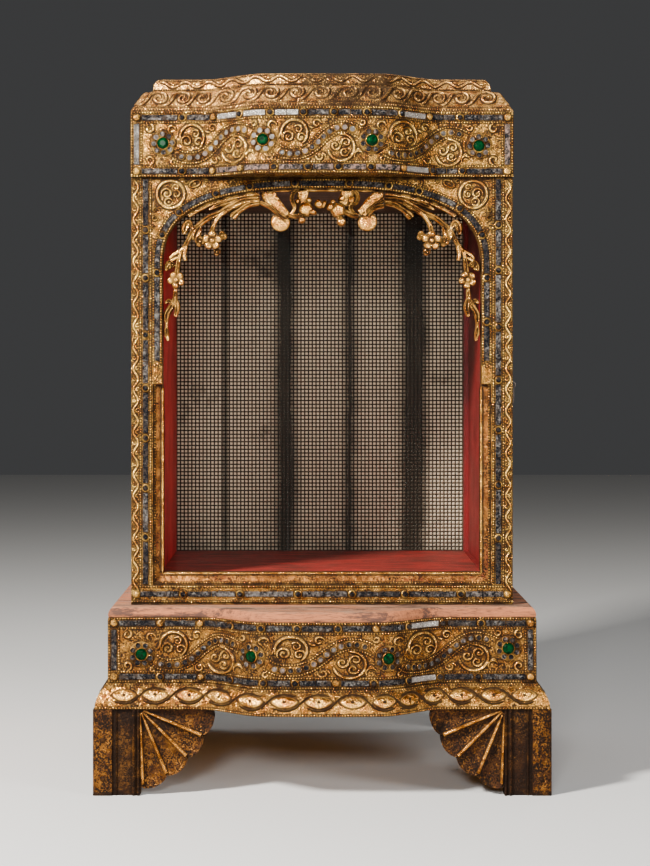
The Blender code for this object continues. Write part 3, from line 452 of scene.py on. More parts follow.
class Paint:
    """A node material with short ways to add texture, ramp, mix and maths nodes."""

    def __init__(self, name):
        self.material = bpy.data.materials.new(name)
        self.material.use_nodes = True
        self.tree = self.material.node_tree
        self.shader = self.tree.nodes["Principled BSDF"]
        self.place = self.tree.nodes.new("ShaderNodeTexCoord").outputs["Object"]

    def put(self, socket, value):
        if isinstance(value, bpy.types.NodeSocket):
            self.tree.links.new(value, socket)
        elif isinstance(value, tuple) and len(value) == 3 and socket.type == "RGBA":
            socket.default_value = (*value, 1.0)
        else:
            socket.default_value = value

    def stretched(self, scale):
        """The object's own coordinates, scaled along each axis."""
        node = self.tree.nodes.new("ShaderNodeMapping")
        node.inputs["Scale"].default_value = scale
        self.put(node.inputs["Vector"], self.place)
        return node.outputs["Vector"]

    def noise(self, scale, detail=4.0, roughness=0.55, vector=None):
        node = self.tree.nodes.new("ShaderNodeTexNoise")
        node.inputs["Scale"].default_value = scale
        node.inputs["Detail"].default_value = detail
        node.inputs["Roughness"].default_value = roughness
        self.put(node.inputs["Vector"], vector or self.place)
        return node.outputs["Fac"]

    def ramp(self, value, low, high):
        """0 below low, 1 above high, smooth between; falls when low is the greater."""
        node = self.tree.nodes.new("ShaderNodeMapRange")
        node.interpolation_type = "SMOOTHSTEP"
        swap = low > high
        self.put(node.inputs["Value"], value)
        node.inputs["From Min"].default_value = min(low, high)
        node.inputs["From Max"].default_value = max(low, high)
        node.inputs["To Min"].default_value = 1.0 if swap else 0.0
        node.inputs["To Max"].default_value = 0.0 if swap else 1.0
        return node.outputs["Result"]

    def math(self, operation, a, b=0.0, clamp=False):
        node = self.tree.nodes.new("ShaderNodeMath")
        node.operation = operation
        node.use_clamp = clamp
        self.put(node.inputs[0], a)
        self.put(node.inputs[1], b)
        return node.outputs["Value"]

    def times(self, a, b):
        return self.math("MULTIPLY", a, b)

    def plus(self, a, b, clamp=False):
        return self.math("ADD", a, b, clamp)

    def minus(self, a, b):
        return self.math("SUBTRACT", a, b)

    def larger(self, a, b, clamp=False):
        return self.math("MAXIMUM", a, b, clamp)

    def size_of(self, a):
        return self.math("ABSOLUTE", a)

    def span(self, value, low, high):
        """The value, 0 to 1, spread between low and high."""
        return self.math("ADD", self.math("MULTIPLY", value, high - low), low)

    def mix(self, share, a, b):
        node = self.tree.nodes.new("ShaderNodeMix")
        node.data_type = "RGBA"
        self.put(node.inputs["Factor"], share)
        self.put(node.inputs[6], a)
        self.put(node.inputs[7], b)
        return node.outputs[2]

    def mark(self, name):
        node = self.tree.nodes.new("ShaderNodeAttribute")
        node.attribute_name = name
        return node.outputs["Fac"]

    def axis(self, name):
        node = self.tree.nodes.new("ShaderNodeSeparateXYZ")
        self.put(node.inputs[0], self.place)
        return node.outputs[name]

    def shelter(self, distance):
        """How sheltered a point is by what stands round it: 0 open, 1 deep in a corner."""
        node = self.tree.nodes.new("ShaderNodeAmbientOcclusion")
        node.samples = 6
        node.inputs["Distance"].default_value = distance
        return self.math("SUBTRACT", 1.0, node.outputs["AO"])

    def bump(self, height, distance, strength):
        node = self.tree.nodes.new("ShaderNodeBump")
        node.inputs["Distance"].default_value = distance
        node.inputs["Strength"].default_value = strength
        self.put(node.inputs["Height"], height)
        self.put(self.shader.inputs["Normal"], node.outputs["Normal"])

    def finish(self, **values):
        for name, value in values.items():
            self.put(self.shader.inputs[name.replace("_", " ")], value)
        return self.material


bole_red = (0.16, 0.034, 0.011)
# Dark brown of the painted shade in corners and crevices of the gilding, and of its dirt
shade_and_soot_brown = (0.007, 0.0035, 0.002)
board_black = (0.020, 0.015, 0.010)
wall_black = (0.012, 0.007, 0.006)


def gold_leaf(name, bright, mid, bole, worn, dirty, rough, middle_stain=0.0):
    """Gold leaf over red-brown lacquer, worn through in places and black in every corner with painted
    shade and dirt.

    Worn and dirty are how much of each shows; a middle stain darkens the middle of a front further."""
    paint = Paint(name)
    patches = paint.noise(13.0, 5.0, 0.6)
    tones = paint.noise(95.0, 4.0, 0.6)
    specks = paint.noise(620.0, 4.0, 0.6)
    grains = paint.noise(330.0, 3.0, 0.65)
    ground = paint.mark("tone")
    leaf = paint.mix(paint.ramp(tones, 0.38, 0.64), bright, mid)
    leaf = paint.mix(paint.times(ground, 0.72), leaf, tuple(0.42 * c for c in mid))
    rubbed = paint.plus(paint.times(patches, 0.58), paint.times(grains, 0.42))
    bare = paint.times(paint.ramp(rubbed, 0.64 - 0.16 * worn, 0.70 - 0.16 * worn), 0.85)
    leaf = paint.mix(bare, leaf, bole)
    lasting = paint.span(paint.ramp(tones, 0.30, 0.58), 0.72, 1.0)
    # Painted shade: the leaf darkens where the relief round a point shelters it, in corners and at the
    # feet of the ornament
    corners = paint.times(paint.ramp(paint.shelter(0.0055), 0.02, 0.15), lasting)
    # Painted shade and dirt marked on the shapes: fillets at the feet of threads, bead beds and grooves
    grime = paint.mark("grime")
    film = paint.times(paint.noise(42.0, 6.0, 0.70), 0.45)
    film = paint.plus(film, paint.times(specks, 0.55))
    if middle_stain:
        away = paint.size_of(paint.minus(paint.axis("X"), 0.035))
        near = paint.ramp(away, 0.085, 0.02)
        film = paint.plus(film, paint.times(near, middle_stain))
    reach = paint.plus(film, paint.times(ground, 0.055))
    film = paint.ramp(reach, 0.60 - 0.13 * dirty, 0.66 - 0.13 * dirty)
    # Painted shade in corners and marked crevices, together with the dirt film
    shade_and_soot = paint.larger(paint.larger(corners, grime), film, clamp=True)
    colour = paint.mix(paint.times(shade_and_soot, 0.97), leaf, shade_and_soot_brown)
    dull = paint.larger(shade_and_soot, bare)
    dents = paint.times(paint.noise(190.0, 3.0, 0.6), 1.4)
    paint.bump(paint.plus(paint.plus(tones, dents), grains), 0.0012, 0.8)
    return paint.finish(
        Base_Color=colour,
        Metallic=paint.span(dull, 0.95, 0.0),
        Roughness=paint.plus(paint.span(dull, rough, 0.80), paint.span(grains, -0.17, 0.07)),
        Specular_IOR_Level=0.08,
    )


def mirror_glass(name):
    """Old mirror set in lacquer: dark slate where the silver is lost, silvery where it lasts."""
    paint = Paint(name)
    mottle = paint.ramp(paint.noise(380.0, 5.0, 0.7), 0.40, 0.62)
    patches = paint.ramp(paint.noise(110.0, 4.0, 0.6), 0.38, 0.62)
    tone = paint.plus(paint.mark("tone"), paint.span(mottle, -0.14, 0.10))
    tone = paint.plus(tone, paint.span(patches, -0.12, 0.10), clamp=True)
    colour = paint.mix(tone, (0.006, 0.006, 0.0075), (0.60, 0.56, 0.50))
    pinkish = paint.times(paint.mark("blush"), paint.ramp(tone, 0.0, 0.35))
    colour = paint.mix(pinkish, colour, (0.34, 0.17, 0.115))
    dust = paint.ramp(paint.noise(210.0, 6.0, 0.75), 0.47, 0.62)
    colour = paint.mix(paint.times(dust, 0.6), colour, (0.060, 0.038, 0.024))
    paint.bump(mottle, 0.0010, 0.8)
    return paint.finish(
        Base_Color=colour,
        Metallic=paint.span(tone, 0.0, 0.8),
        Roughness=paint.span(dust, 0.20, 0.75),
        Specular_IOR_Level=0.12,
    )


def green_stone(name):
    """Very dark green glass with a dull shine."""
    paint = Paint(name)
    cloud = paint.noise(260.0, 3.0)
    colour = paint.mix(paint.ramp(cloud, 0.35, 0.7), (0.0, 0.008, 0.002), (0.0, 0.032, 0.007))
    paint.bump(paint.noise(500.0, 2.0), 0.0001, 0.4)
    roughness = paint.span(cloud, 0.16, 0.26)
    return paint.finish(Base_Color=colour, Roughness=roughness, Specular_IOR_Level=0.05)


def lacquer_wall(name, fresh, faded):
    """Red lacquer, rubbed and blackened with drips, and painted darker on the right-hand side as shade."""
    paint = Paint(name)
    drips = paint.noise(9.0, 6.0, 0.65, paint.stretched((9.0, 9.0, 1.0)))
    patches = paint.noise(16.0, 6.0, 0.65)
    fine = paint.noise(260.0, 4.0, 0.6)
    colour = paint.mix(paint.ramp(patches, 0.34, 0.66), fresh, faded)
    stain = paint.ramp(paint.times(drips, patches), 0.30, 0.42)
    colour = paint.mix(paint.times(stain, 0.75), colour, wall_black)
    chips = paint.times(paint.ramp(fine, 0.64, 0.70), 0.6)
    colour = paint.mix(chips, colour, wall_black)
    # Painted shade: the lacquer darkens towards +X, on the right-hand side of the case
    right_side_shade = paint.times(paint.ramp(paint.axis("X"), 0.0, 0.15), 0.62)
    colour = paint.mix(right_side_shade, colour, wall_black)
    paint.bump(paint.plus(drips, fine), 0.0005, 0.5)
    roughness = paint.span(patches, 0.34, 0.62)
    return paint.finish(Base_Color=colour, Roughness=roughness, Specular_IOR_Level=0.16)


def streaked_floor(name):
    """The case's floor: red lacquer worn through to dark wood along the grain, with dust on it."""
    paint = Paint(name)
    grain = paint.noise(13.0, 7.0, 0.7, paint.stretched((1.0, 11.0, 6.0)))
    fine = paint.noise(60.0, 5.0, 0.7, paint.stretched((1.0, 9.0, 6.0)))
    worn = paint.plus(paint.times(grain, 0.65), paint.times(fine, 0.35))
    colour = paint.mix(paint.ramp(worn, 0.42, 0.55), (0.38, 0.018, 0.014), (0.09, 0.018, 0.012))
    dust = paint.times(paint.ramp(fine, 0.58, 0.70), 0.7)
    colour = paint.mix(dust, colour, (0.27, 0.13, 0.085))
    paint.bump(fine, 0.0006, 0.7)
    return paint.finish(Base_Color=colour, Roughness=paint.span(worn, 0.35, 0.8), Specular_IOR_Level=0.20)


def bare_board(name, edge, top, dark):
    """Bare wood with its grain along X: orange-red on the edge, grey with dust on top."""
    paint = Paint(name)
    grain = paint.noise(16.0, 7.0, 0.72, paint.stretched((1.0, 12.0, 16.0)))
    fine = paint.noise(90.0, 5.0, 0.7, paint.stretched((1.0, 10.0, 14.0)))
    normal = paint.tree.nodes.new("ShaderNodeNewGeometry").outputs["Normal"]
    parts = paint.tree.nodes.new("ShaderNodeSeparateXYZ")
    paint.put(parts.inputs[0], normal)
    dusty = paint.ramp(parts.outputs["Z"], 0.55, 0.95)
    colour = paint.mix(paint.ramp(grain, 0.40, 0.62), edge, tuple(c * 0.55 for c in edge))
    covered = paint.times(dusty, paint.span(paint.ramp(grain, 0.40, 0.58), 0.25, 1.0))
    colour = paint.mix(covered, colour, top)
    streaks = paint.noise(8.0, 7.0, 0.82, paint.stretched((1.0, 6.0, 5.0)))
    colour = paint.mix(paint.times(paint.ramp(streaks, 0.50, 0.58), 0.80), colour, edge)
    colour = paint.mix(paint.times(paint.ramp(streaks, 0.49, 0.43), 0.85), colour, dark)
    lines = paint.times(paint.ramp(fine, 0.54, 0.62), 0.8)
    colour = paint.mix(lines, colour, dark)
    paint.bump(paint.plus(grain, fine), 0.0012, 0.8)
    return paint.finish(Base_Color=colour, Roughness=paint.span(fine, 0.62, 0.92))


def board_shadow(paint):
    """Where the back boards are black: along their seams, at the foot, and in clouds of dirt."""
    cloud = paint.noise(11.0, 6.0, 0.66)
    x = paint.axis("X")
    ragged = paint.plus(x, paint.span(cloud, -0.009, 0.009))
    dark = 0.0
    for node, half in (("back_board_2", 0.0110), ("back_board_3", 0.0060), ("back_board_4", 0.0150)):
        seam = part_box(node)[1].x - 0.002
        off = paint.size_of(paint.minus(ragged, seam))
        dark = paint.larger(dark, paint.ramp(off, half + 0.011, half - 0.007))
    off = paint.size_of(paint.minus(x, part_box("back_board_1")[1].x))
    dark = paint.larger(dark, paint.times(paint.ramp(off, 0.0070, 0.002), 0.85))
    # Painted shadow: the boards darken towards their foot, just above the case floor
    foot = paint.plus(paint.axis("Z"), paint.span(cloud, -0.05, 0.05))
    dark = paint.larger(dark, paint.ramp(foot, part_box("case_floor")[1].z + 0.040, case_low))
    dark = paint.larger(dark, paint.times(paint.ramp(cloud, 0.57, 0.70), 0.7))
    return dark


def pale_wood(name):
    """Rough pale boards with upright grain, black with dirt near two of their seams, and painted dark with
    shadow at the foot.
    """
    paint = Paint(name)
    grain = paint.noise(30.0, 7.0, 0.7, paint.stretched((6.0, 6.0, 0.5)))
    fine = paint.noise(140.0, 4.0, 0.7, paint.stretched((5.0, 5.0, 0.5)))
    colour = paint.mix(paint.ramp(grain, 0.36, 0.64), (0.90, 0.74, 0.42), (0.60, 0.46, 0.24))
    dark = board_shadow(paint)
    colour = paint.mix(paint.times(dark, 0.94), colour, board_black)
    paint.bump(paint.plus(grain, fine), 0.0008, 0.8)
    return paint.finish(Base_Color=colour, Roughness=paint.span(fine, 0.65, 0.95))


def aged_wood(name):
    """Dark brown wood with its grain along X."""
    paint = Paint(name)
    grain = paint.noise(14.0, 7.0, 0.7, paint.stretched((1.0, 9.0, 9.0)))
    fine = paint.noise(120.0, 4.0, 0.7, paint.stretched((1.0, 6.0, 6.0)))
    colour = paint.mix(paint.ramp(grain, 0.36, 0.66), (0.115, 0.055, 0.030), (0.035, 0.018, 0.012))
    paint.bump(paint.plus(grain, fine), 0.0007, 0.8)
    return paint.finish(Base_Color=colour, Roughness=paint.span(fine, 0.6, 0.9))


def old_iron(name):
    """Grey iron with brown rust on it."""
    paint = Paint(name)
    rust = paint.noise(420.0, 5.0, 0.65)
    colour = paint.mix(paint.ramp(rust, 0.42, 0.62), (0.16, 0.145, 0.13), (0.085, 0.045, 0.025))
    paint.bump(rust, 0.00025, 0.8)
    shine = paint.span(paint.ramp(rust, 0.42, 0.62), 0.85, 0.25)
    return paint.finish(Base_Color=colour, Metallic=shine, Roughness=paint.span(rust, 0.40, 0.75))


def pane(name, colour, alpha, roughness, shine, shadowed=False):
    """See-through glass, faintly uneven and dusty; shadowed where dark seams lie behind it."""
    paint = Paint(name)
    paint.bump(paint.noise(24.0, 2.0), 0.0003, 0.15)
    tint = paint.mix(paint.noise(18.0, 4.0), colour, tuple(c * 0.8 for c in colour))
    if shadowed:
        tint = paint.mix(paint.times(board_shadow(paint), 0.93), tint, board_black)
    return paint.finish(Base_Color=tint, Alpha=alpha, Roughness=roughness, Specular_IOR_Level=shine)


gilding = gold_leaf("gilding", (1.0, 0.58, 0.13), (0.56, 0.215, 0.032), bole_red, 0.35, 0.45, 0.28)
# A darker copy of the gilding for the plinth and the slip lines: a little dirtier, and with darker leaf as
# painted shade, since less light falls low on the shrine
plinth_gilding = gold_leaf(
    "plinth_gilding", (0.90, 0.46, 0.096), (0.46, 0.170, 0.026), bole_red, 0.40, 0.52, 0.28
)
moulding_gilding = gold_leaf(
    "moulding_gilding", (0.86, 0.44, 0.092), (0.46, 0.168, 0.026), bole_red, 0.35, 0.50, 0.26
)
cap_gilding = gold_leaf(
    "cap_gilding", (1.0, 0.52, 0.14), (0.56, 0.22, 0.048), (0.10, 0.034, 0.014), 0.40, 0.52, 0.30,
    middle_stain=0.10,
)
tracery_gilding = gold_leaf(
    "tracery_gilding", (1.0, 0.52, 0.115), (0.56, 0.215, 0.038), (0.22, 0.062, 0.020), 0.50, 0.25, 0.22
)
ridge_gilding = gold_leaf(
    "ridge_gilding", (0.62, 0.26, 0.045), (0.27, 0.092, 0.012), (0.08, 0.025, 0.009), 0.60, 0.45, 0.30
)
# A much darker copy of the gilding for the feet: worn and dirty, and darker still as painted shade, since
# less light falls on the feet
foot_gilding = gold_leaf(
    "worn_gilding", (0.27, 0.105, 0.018), (0.105, 0.036, 0.0065), (0.034, 0.011, 0.0045), 1.1, 1.05, 0.36
)
slip_gilding = gold_leaf(
    "slip_gilding", (0.32, 0.125, 0.026), (0.13, 0.045, 0.010), bole_red, 0.8, 0.70, 0.38
)
mirrors = mirror_glass("mirror_inlay")
stones = green_stone("green_glass")
wall_red = lacquer_wall("red_lacquer", (0.46, 0.008, 0.010), (0.29, 0.010, 0.011))
floor_red = streaked_floor("floor_lacquer")
top_wood = bare_board("bare_wood", (0.40, 0.125, 0.040), (0.30, 0.175, 0.105), (0.035, 0.014, 0.009))
boards = pale_wood("pale_board")
dark_wood = aged_wood("dark_wood")
iron = old_iron("iron")
clear_pane = pane("clear_glass", (0.030, 0.034, 0.032), 0.04, 0.03, 0.05)
ribbed_pane = pane("ribbed_glass", (1.0, 0.83, 0.58), 0.72, 0.30, 0.10, shadowed=True)
pane_grooves = pane("ribbed_glass_grooves", (0.020, 0.014, 0.009), 0.86, 0.60, 0.0)


# Ornament of the frieze and plinth

# The scroll module between two florets. Across is a share of the way from one floret to the next, and up
# is a share of the panel's half height, both from its middle line.
module_length = 0.1215
module_half_height = 0.0240
wave_points = (
    (0.115, -0.40), (0.155, -0.56), (0.21, -0.63), (0.275, -0.645), (0.35, -0.60), (0.43, -0.42),
    (0.50, -0.14), (0.565, 0.18), (0.635, 0.44), (0.70, 0.565), (0.77, 0.56), (0.83, 0.47), (0.885, 0.33),
)
band_half_width = 0.0060
scroll_curls = (
    # across, up, radius, start angle in turns, turns, tightness
    (0.290, 0.290, 0.0150, 0.56, -0.70, 0.92),
    (0.235, 0.140, 0.0068, 0.62, -1.55, 0.16),
    (0.325, 0.480, 0.0047, 0.40, -1.30, 0.20),
    (0.350, 0.100, 0.0054, 0.95, 1.30, 0.18),
    (0.720, -0.340, 0.0150, 0.53, 0.74, 0.92),
    (0.665, -0.270, 0.0056, 0.10, -1.35, 0.18),
    (0.762, -0.130, 0.0056, 0.60, -1.35, 0.18),
    (0.745, -0.560, 0.0054, 0.00, -1.35, 0.18),
    (0.495, 0.740, 0.0048, 0.02, 1.10, 0.30),
    (0.520, -0.760, 0.0046, 0.45, 1.10, 0.30),
    (0.085, 0.660, 0.0050, 0.98, 0.72, 0.75),
    (0.875, -0.720, 0.0052, 0.05, 0.55, 0.90),
    (0.100, -0.860, 0.0030, 0.20, 0.95, 0.50),
    (0.915, 0.800, 0.0034, 0.50, 1.00, 0.50),
)
scroll_tails = (
    ((0.145, 0.06), (0.155, 0.22), (0.185, 0.36)),
    ((0.415, 0.62), (0.445, 0.55), (0.475, 0.56)),
    ((0.535, -0.60), (0.560, -0.66), (0.575, -0.80)),
    ((0.845, -0.52), (0.875, -0.44), (0.905, -0.50)),
)


def winding_band(relief, inlay, face, wave, tones, rng):
    """A raised bed between two lines of beads, with small round mirrors along its middle."""
    along = unit(np.gradient(wave, axis=0))
    across = np.stack((-along[:, 1], along[:, 0]), -1)
    section = np.array((-1.0, -0.86, 0.86, 1.0)) * band_half_width
    sweep(relief, face, spaced(face, wave, 0.0024), section, (-0.0004, 0.0005, 0.0005, -0.0004), tone=1.0)
    for side in (-1, 1):
        beaded(relief, raised(face, 0.0004), wave + across * side * band_half_width * 0.97)
    set_mirrors(relief, inlay, raised(face, 0.0006), spaced(face, wave, 0.0088)[1:-1], tones, rng)


def scroll_module(relief, inlay, face, left, right, middle, half_height, tones, rng):
    """The winding dotted band, its scrolls and small curls, between two florets."""
    length = right[0] - left[0]
    stretch, swell = length / module_length, half_height / module_half_height

    def spot(across, up):
        base = (left[1] * (1 - across) + right[1] * across) * 0.35
        return left[0] + length * across, middle + base + up * half_height * 0.97

    wave = smooth_path([spot(*place) for place in wave_points])
    winding_band(relief, inlay, face, wave, tones, rng)
    for place, up, radius, start, turns, tightness in scroll_curls:
        centre = spot(place, up)
        path = curl(centre, radius * swell, start * math.tau, turns, tightness, stretch / swell)
        large = radius > 0.01
        width, height = (1.15, 1.25) if large else (0.95, 1.0)
        thread(relief, face, path, thread_width * width, thread_height * height)
        if not large and abs(turns) > 1.0:
            boss(relief, face, centre, 0.0013, 0.001, 0.001, 0.0013, grime=(0.8, 0.1, 0.0))
    for tail in scroll_tails:
        thread(relief, face, smooth_path([spot(*place) for place in tail]))


def raised(face, lift):
    """The same face, lifted off the board."""
    def at(u, v):
        points, normals = face(u, v)
        return points + normals * lift, normals
    return at


def set_mirrors(relief, inlay, face, spots, tones, rng):
    """Small round mirrors, each in a gilt collar."""
    collar = profile_of(mirror_radius, (1.26, -0.0004), (1.20, 0.0010), (1.04, 0.0014), (0.94, 0.0005))
    turned(relief, face, spots, collar, 14, grime=(1.0, 0.1, 0.0, 0.9))
    tone = rng.uniform(*tones, len(spots))
    blush = rng.uniform(0.0, 0.55, len(spots))
    glass = profile_of(mirror_radius, (1.0, 0.0003), (0.86, 0.0008), (0.4, 0.00095))
    turned(inlay, face, spots, glass, 14, tone=tone, blush=blush)


def floret(relief, inlay, face, centre, tones, rng):
    """Eight round mirror petals, each in its collar, round a stone's gilt seat."""
    petals = around(centre, 0.0102, math.tau * (np.arange(8) + rng.uniform(0.0, 0.6)) / 8)
    rings = []
    for reach, lift in ((0.0142, -0.0004), (0.0136, 0.0008), (0.0100, 0.0010), (0.0060, 0.0010)):
        points, normals = face(*around(centre, reach, turns_of(32)).T)
        rings.append(points + normals * lift)
    # Painted shade and dirt on the bed round the petals
    grime = np.repeat((1.0, 0.8, 0.9, 0.9), 32)
    relief.grid(np.array(rings), closed_rows=True, ends=True, grime=grime)
    set_mirrors(relief, inlay, raised(face, 0.0011), petals, tones, rng)
    seat = ((0.0074, 0.0008), (0.0073, 0.0026), (0.0067, 0.0030), (0.0062, 0.0022), (0.0062, 0.0008))
    turned(relief, face, [centre], seat, 28, grime=(0.9, 0.1, 0.0, 0.5, 0.9))


def stone_piece(name, face, centre, sides, phase):
    """A green glass stone, cut with a flat table and sloping facets."""
    shape = Shape(stones, 8.0)
    profile = ((0.0060, 0.0016), (0.0060, 0.0030), (0.0040, 0.0046), (0.0030, 0.0048))
    turned(shape, face, [centre], profile, sides, phase)
    make(name + "_cut", [shape], replaces=(name,))


def stud(relief, inlay, face, spot, tone):
    """A dark glass ball in a beaded gilt ring."""
    ring = ((0.0044, -0.0004), (0.0043, 0.0014), (0.0036, 0.0019), (0.0030, 0.0012))
    turned(relief, face, [spot], ring, 14, grime=(1.0, 0.15, 0.0, 0.9))
    steps = ((1.0, 0.0010), (0.96, 0.0024), (0.74, 0.0038), (0.40, 0.0046), (0.0, 0.0048))
    turned(inlay, face, [spot], profile_of(stud_radius, *steps), 14, tone=tone)


def gilt_stud(relief, face, spot, radius=0.0043):
    """A gilt boss with punched dots."""
    steps = ((1.0, -0.0004), (0.96, 0.0016), (0.74, 0.0030), (0.4, 0.0036), (0.0, 0.0038))
    grime = (1.0, 0.6, 0.0, 0.25, 0.4)
    turned(relief, face, [spot], profile_of(radius, *steps), 16, grime=grime, tone=0.5)
    dot = ((0.0007, -0.0003), (0.0005, 0.0005), (0.0, 0.0006))
    dots = around(spot, 0.45 * radius, turns_of(5))
    turned(relief, raised(face, 0.0032), dots, dot, 6, grime=(1.0, 0.1, 0.0))


def strip(inlay, face, start, end, tone, blush):
    """A bevelled strip of mirror glass between two spots."""
    path = spaced(face, [start, end], 0.004)
    half, bevel = strip_height / 2, 0.0007
    across = (-half, bevel - half, half - bevel, half)
    sweep(inlay, face, path, across, (-0.0003, 0.0010, 0.0010, -0.0003), tone=tone, blush=blush)


def strip_row(relief, inlay, face, path, stops, look, rng, gilt=(), margin=0.0052):
    """Mirror strips along a path, with a stud at each stop. Stops are distances along the path, and look
    gives the (tone, blush) of a strip from its middle."""
    lengths = run_lengths(face(path[:, 0], path[:, 1])[0])

    def at(distance):
        return np.array([np.interp(distance, lengths, path[:, k]) for k in (0, 1)])

    for i, stop in enumerate(stops):
        if i in gilt:
            gilt_stud(relief, face, at(stop), 0.0040)
        else:
            stud(relief, inlay, face, at(stop), 0.10 * rng.random() - 0.60)
    beyond = margin * 0.1
    edges = [-beyond, *stops, lengths[-1] + beyond]
    for a, b in zip(edges, edges[1:]):
        start = a + (margin if a > 0 else beyond)
        end = b - (margin if b < lengths[-1] else beyond)
        if end - start < 0.004:
            continue
        pieces = 2 if end - start > 0.021 and rng.random() < 0.45 else 1
        step = (end - start) / pieces
        for k in range(pieces):
            first, last = start + k * step + 0.0004, start + (k + 1) * step - 0.0004
            count = max(int((last - first) / 0.004), 2)
            spots = np.array([at(distance) for distance in np.linspace(first, last, count)])
            tone, blush = look(at((first + last) / 2))
            across = np.array((-0.5, -0.39, 0.39, 0.5)) * strip_height
            tilt = rng.uniform(-0.0003, 0.0003)
            lifts = (-0.0003, 0.0010 + tilt, 0.0010 - tilt, -0.0003)
            sweep(inlay, face, spots, across, lifts, tone=tone, blush=blush)


def along_bow(face, shares, half, z):
    """A level path on a face, and how far along it are places given as shares of the half width."""
    path = level_line(-half + rail_inset, half - rail_inset, z, 400)
    lengths = run_lengths(face(path[:, 0], path[:, 1])[0])
    return path, [float(np.interp(share * half, path[:, 0], lengths)) for share in shares]


def panel_border(relief, inlay, face, half, low, high, spec, rng):
    """Two rectangles of beads, with strips of mirror glass and studs between them."""
    inner, outer = half - rail_inset, half - rim_inset
    heights = (high - rim_inset, high - rail_inset, low + rail_inset, low + rim_inset)
    for z, reach in zip(heights, (outer, inner, inner, outer)):
        beaded(relief, face, level_line(-reach, reach, z, 300))
    for side in (-1, 1):
        beaded(relief, face, upright_line(side * outer, low + 0.0026, high - 0.0026, 12))
        beaded(relief, face, upright_line(side * inner, low + rail_inset, high - rail_inset, 12))
        x = side * (half - strip_inset)
        foot, top = (x, low + rail_inset + 0.002), (x, high - rail_inset - 0.002)
        strip(inlay, face, foot, top, *spec["end_looks"][side > 0])
        for z in (low + 0.0062, high - 0.0062):
            gilt_stud(relief, face, (x, z))
    for row, z in (("bottom", low + strip_inset), ("top", high - strip_inset)):
        path, stops = along_bow(face, spec[row], half, z)
        strip_row(relief, inlay, face, path, stops, spec[row + "_look"], rng, spec[row + "_gilt"])


def carved_panel(relief, inlay, half, low, high, face, spec, rng):
    """All the ornament of a bowed front. Gives back the middles of its florets."""
    panel_border(relief, inlay, face, half, low, high, spec, rng)
    inner = half - rail_inset
    middle, half_height = (low + high) / 2, (high - low) / 2 - rail_inset
    centres = [(x * inner, lift) for x, lift in zip(spec["florets"], spec["lifts"])]
    for first, second, tones in zip(centres, centres[1:], spec["dot_tones"]):
        scroll_module(relief, inlay, face, first, second, middle, half_height, tones, rng)
    for (x, lift), tones in zip(centres, spec["petal_tones"]):
        floret(relief, inlay, face, (x, middle + lift), tones, rng)
    for side, x in ((-1, centres[0][0]), (1, centres[-1][0])):
        room = inner - abs(x)
        for turn in (1, -1):
            spot = (side * (abs(x) + room * 0.62), middle + turn * 0.72 * half_height)
            path = curl(spot, min(0.0052, room * 0.4), turn * math.pi / 2, side * turn, 0.35)
            thread(relief, face, path)
    return [(x, middle + lift) for x, lift in centres]


def bowed_block(shape, half, front, back, low, high, edge=0.0005):
    """A bowed board with eased edges."""
    rings = []
    for z, inset in ((low, edge), (low + edge, 0.0), (high - edge, 0.0), (high, edge)):
        rings.append(plan_ring(half, front, back, z, inset, 0.0))
    loft(shape, rings, tone=1.0)


def spans(beyond, *stretches):
    """A look for strips: the (tone, blush) of the stretch of x that a strip lies in, or else beyond."""
    def look(spot):
        for low, high, tone, blush in stretches:
            if low < spot[0] < high:
                return tone, blush
        return beyond
    return look


frieze_spec = {
    "florets": (-0.880, -0.322, 0.269, 0.868),
    "lifts": (0.001, 0.0, -0.001, -0.002),
    "top": (-0.732, -0.564, -0.424, -0.268, -0.097, 0.059, 0.228, 0.405, 0.557, 0.721),
    "bottom": (-0.732, -0.569, -0.419, -0.248, -0.074, 0.082, 0.249, 0.416, 0.574, 0.732),
    "top_look": spans((0.05, 0.10), (-0.118, -0.020, 1.05, 0.0), (0.090, 0.115, 0.95, 0.15)),
    "bottom_look": spans((0.03, 0.12), (-0.115, 0.082, 0.16, 0.80), (0.092, 0.114, 0.70, 0.05)),
    "top_gilt": (1, 8),
    "bottom_gilt": (1, 2, 7),
    "end_looks": ((0.30, 0.05), (0.14, 0.60)),
    "dot_tones": ((0.20, 0.62), (-0.05, 0.36), (-0.05, 0.32)),
    "petal_tones": ((0.0, 0.30), (0.45, 0.85), (-0.10, 0.15), (-0.10, 0.20)),
    "stone_sides": (12, 9, 12, 11),
    "stone_turn": 0.3,
}
plinth_spec = {
    "florets": (-0.888, -0.340, 0.315, 0.914),
    "lifts": (-0.0045, -0.001, -0.003, 0.002),
    "top": (-0.757, -0.571, -0.422, -0.281, -0.117, 0.070, 0.244, 0.394, 0.564, 0.742),
    "bottom": (-0.757, -0.566, -0.422, -0.272, -0.126, 0.061, 0.235, 0.394, 0.550, 0.728),
    "top_look": spans((0.0, 0.05), (0.088, 0.118, 0.85, 0.05)),
    "bottom_look": spans((0.0, 0.05), (0.086, 0.112, 0.80, 0.08)),
    "top_gilt": (0, 1, 6),
    "bottom_gilt": (1, 5),
    "end_looks": ((0.0, 0.12), (0.0, 0.12)),
    "dot_tones": ((-0.10, 0.18), (-0.10, 0.34), (-0.10, 0.18)),
    "petal_tones": ((-0.10, 0.12), (-0.10, 0.22), (-0.10, 0.12), (-0.10, 0.15)),
    "stone_sides": (12, 8, 8, 12),
    "stone_turn": 0.39,
}


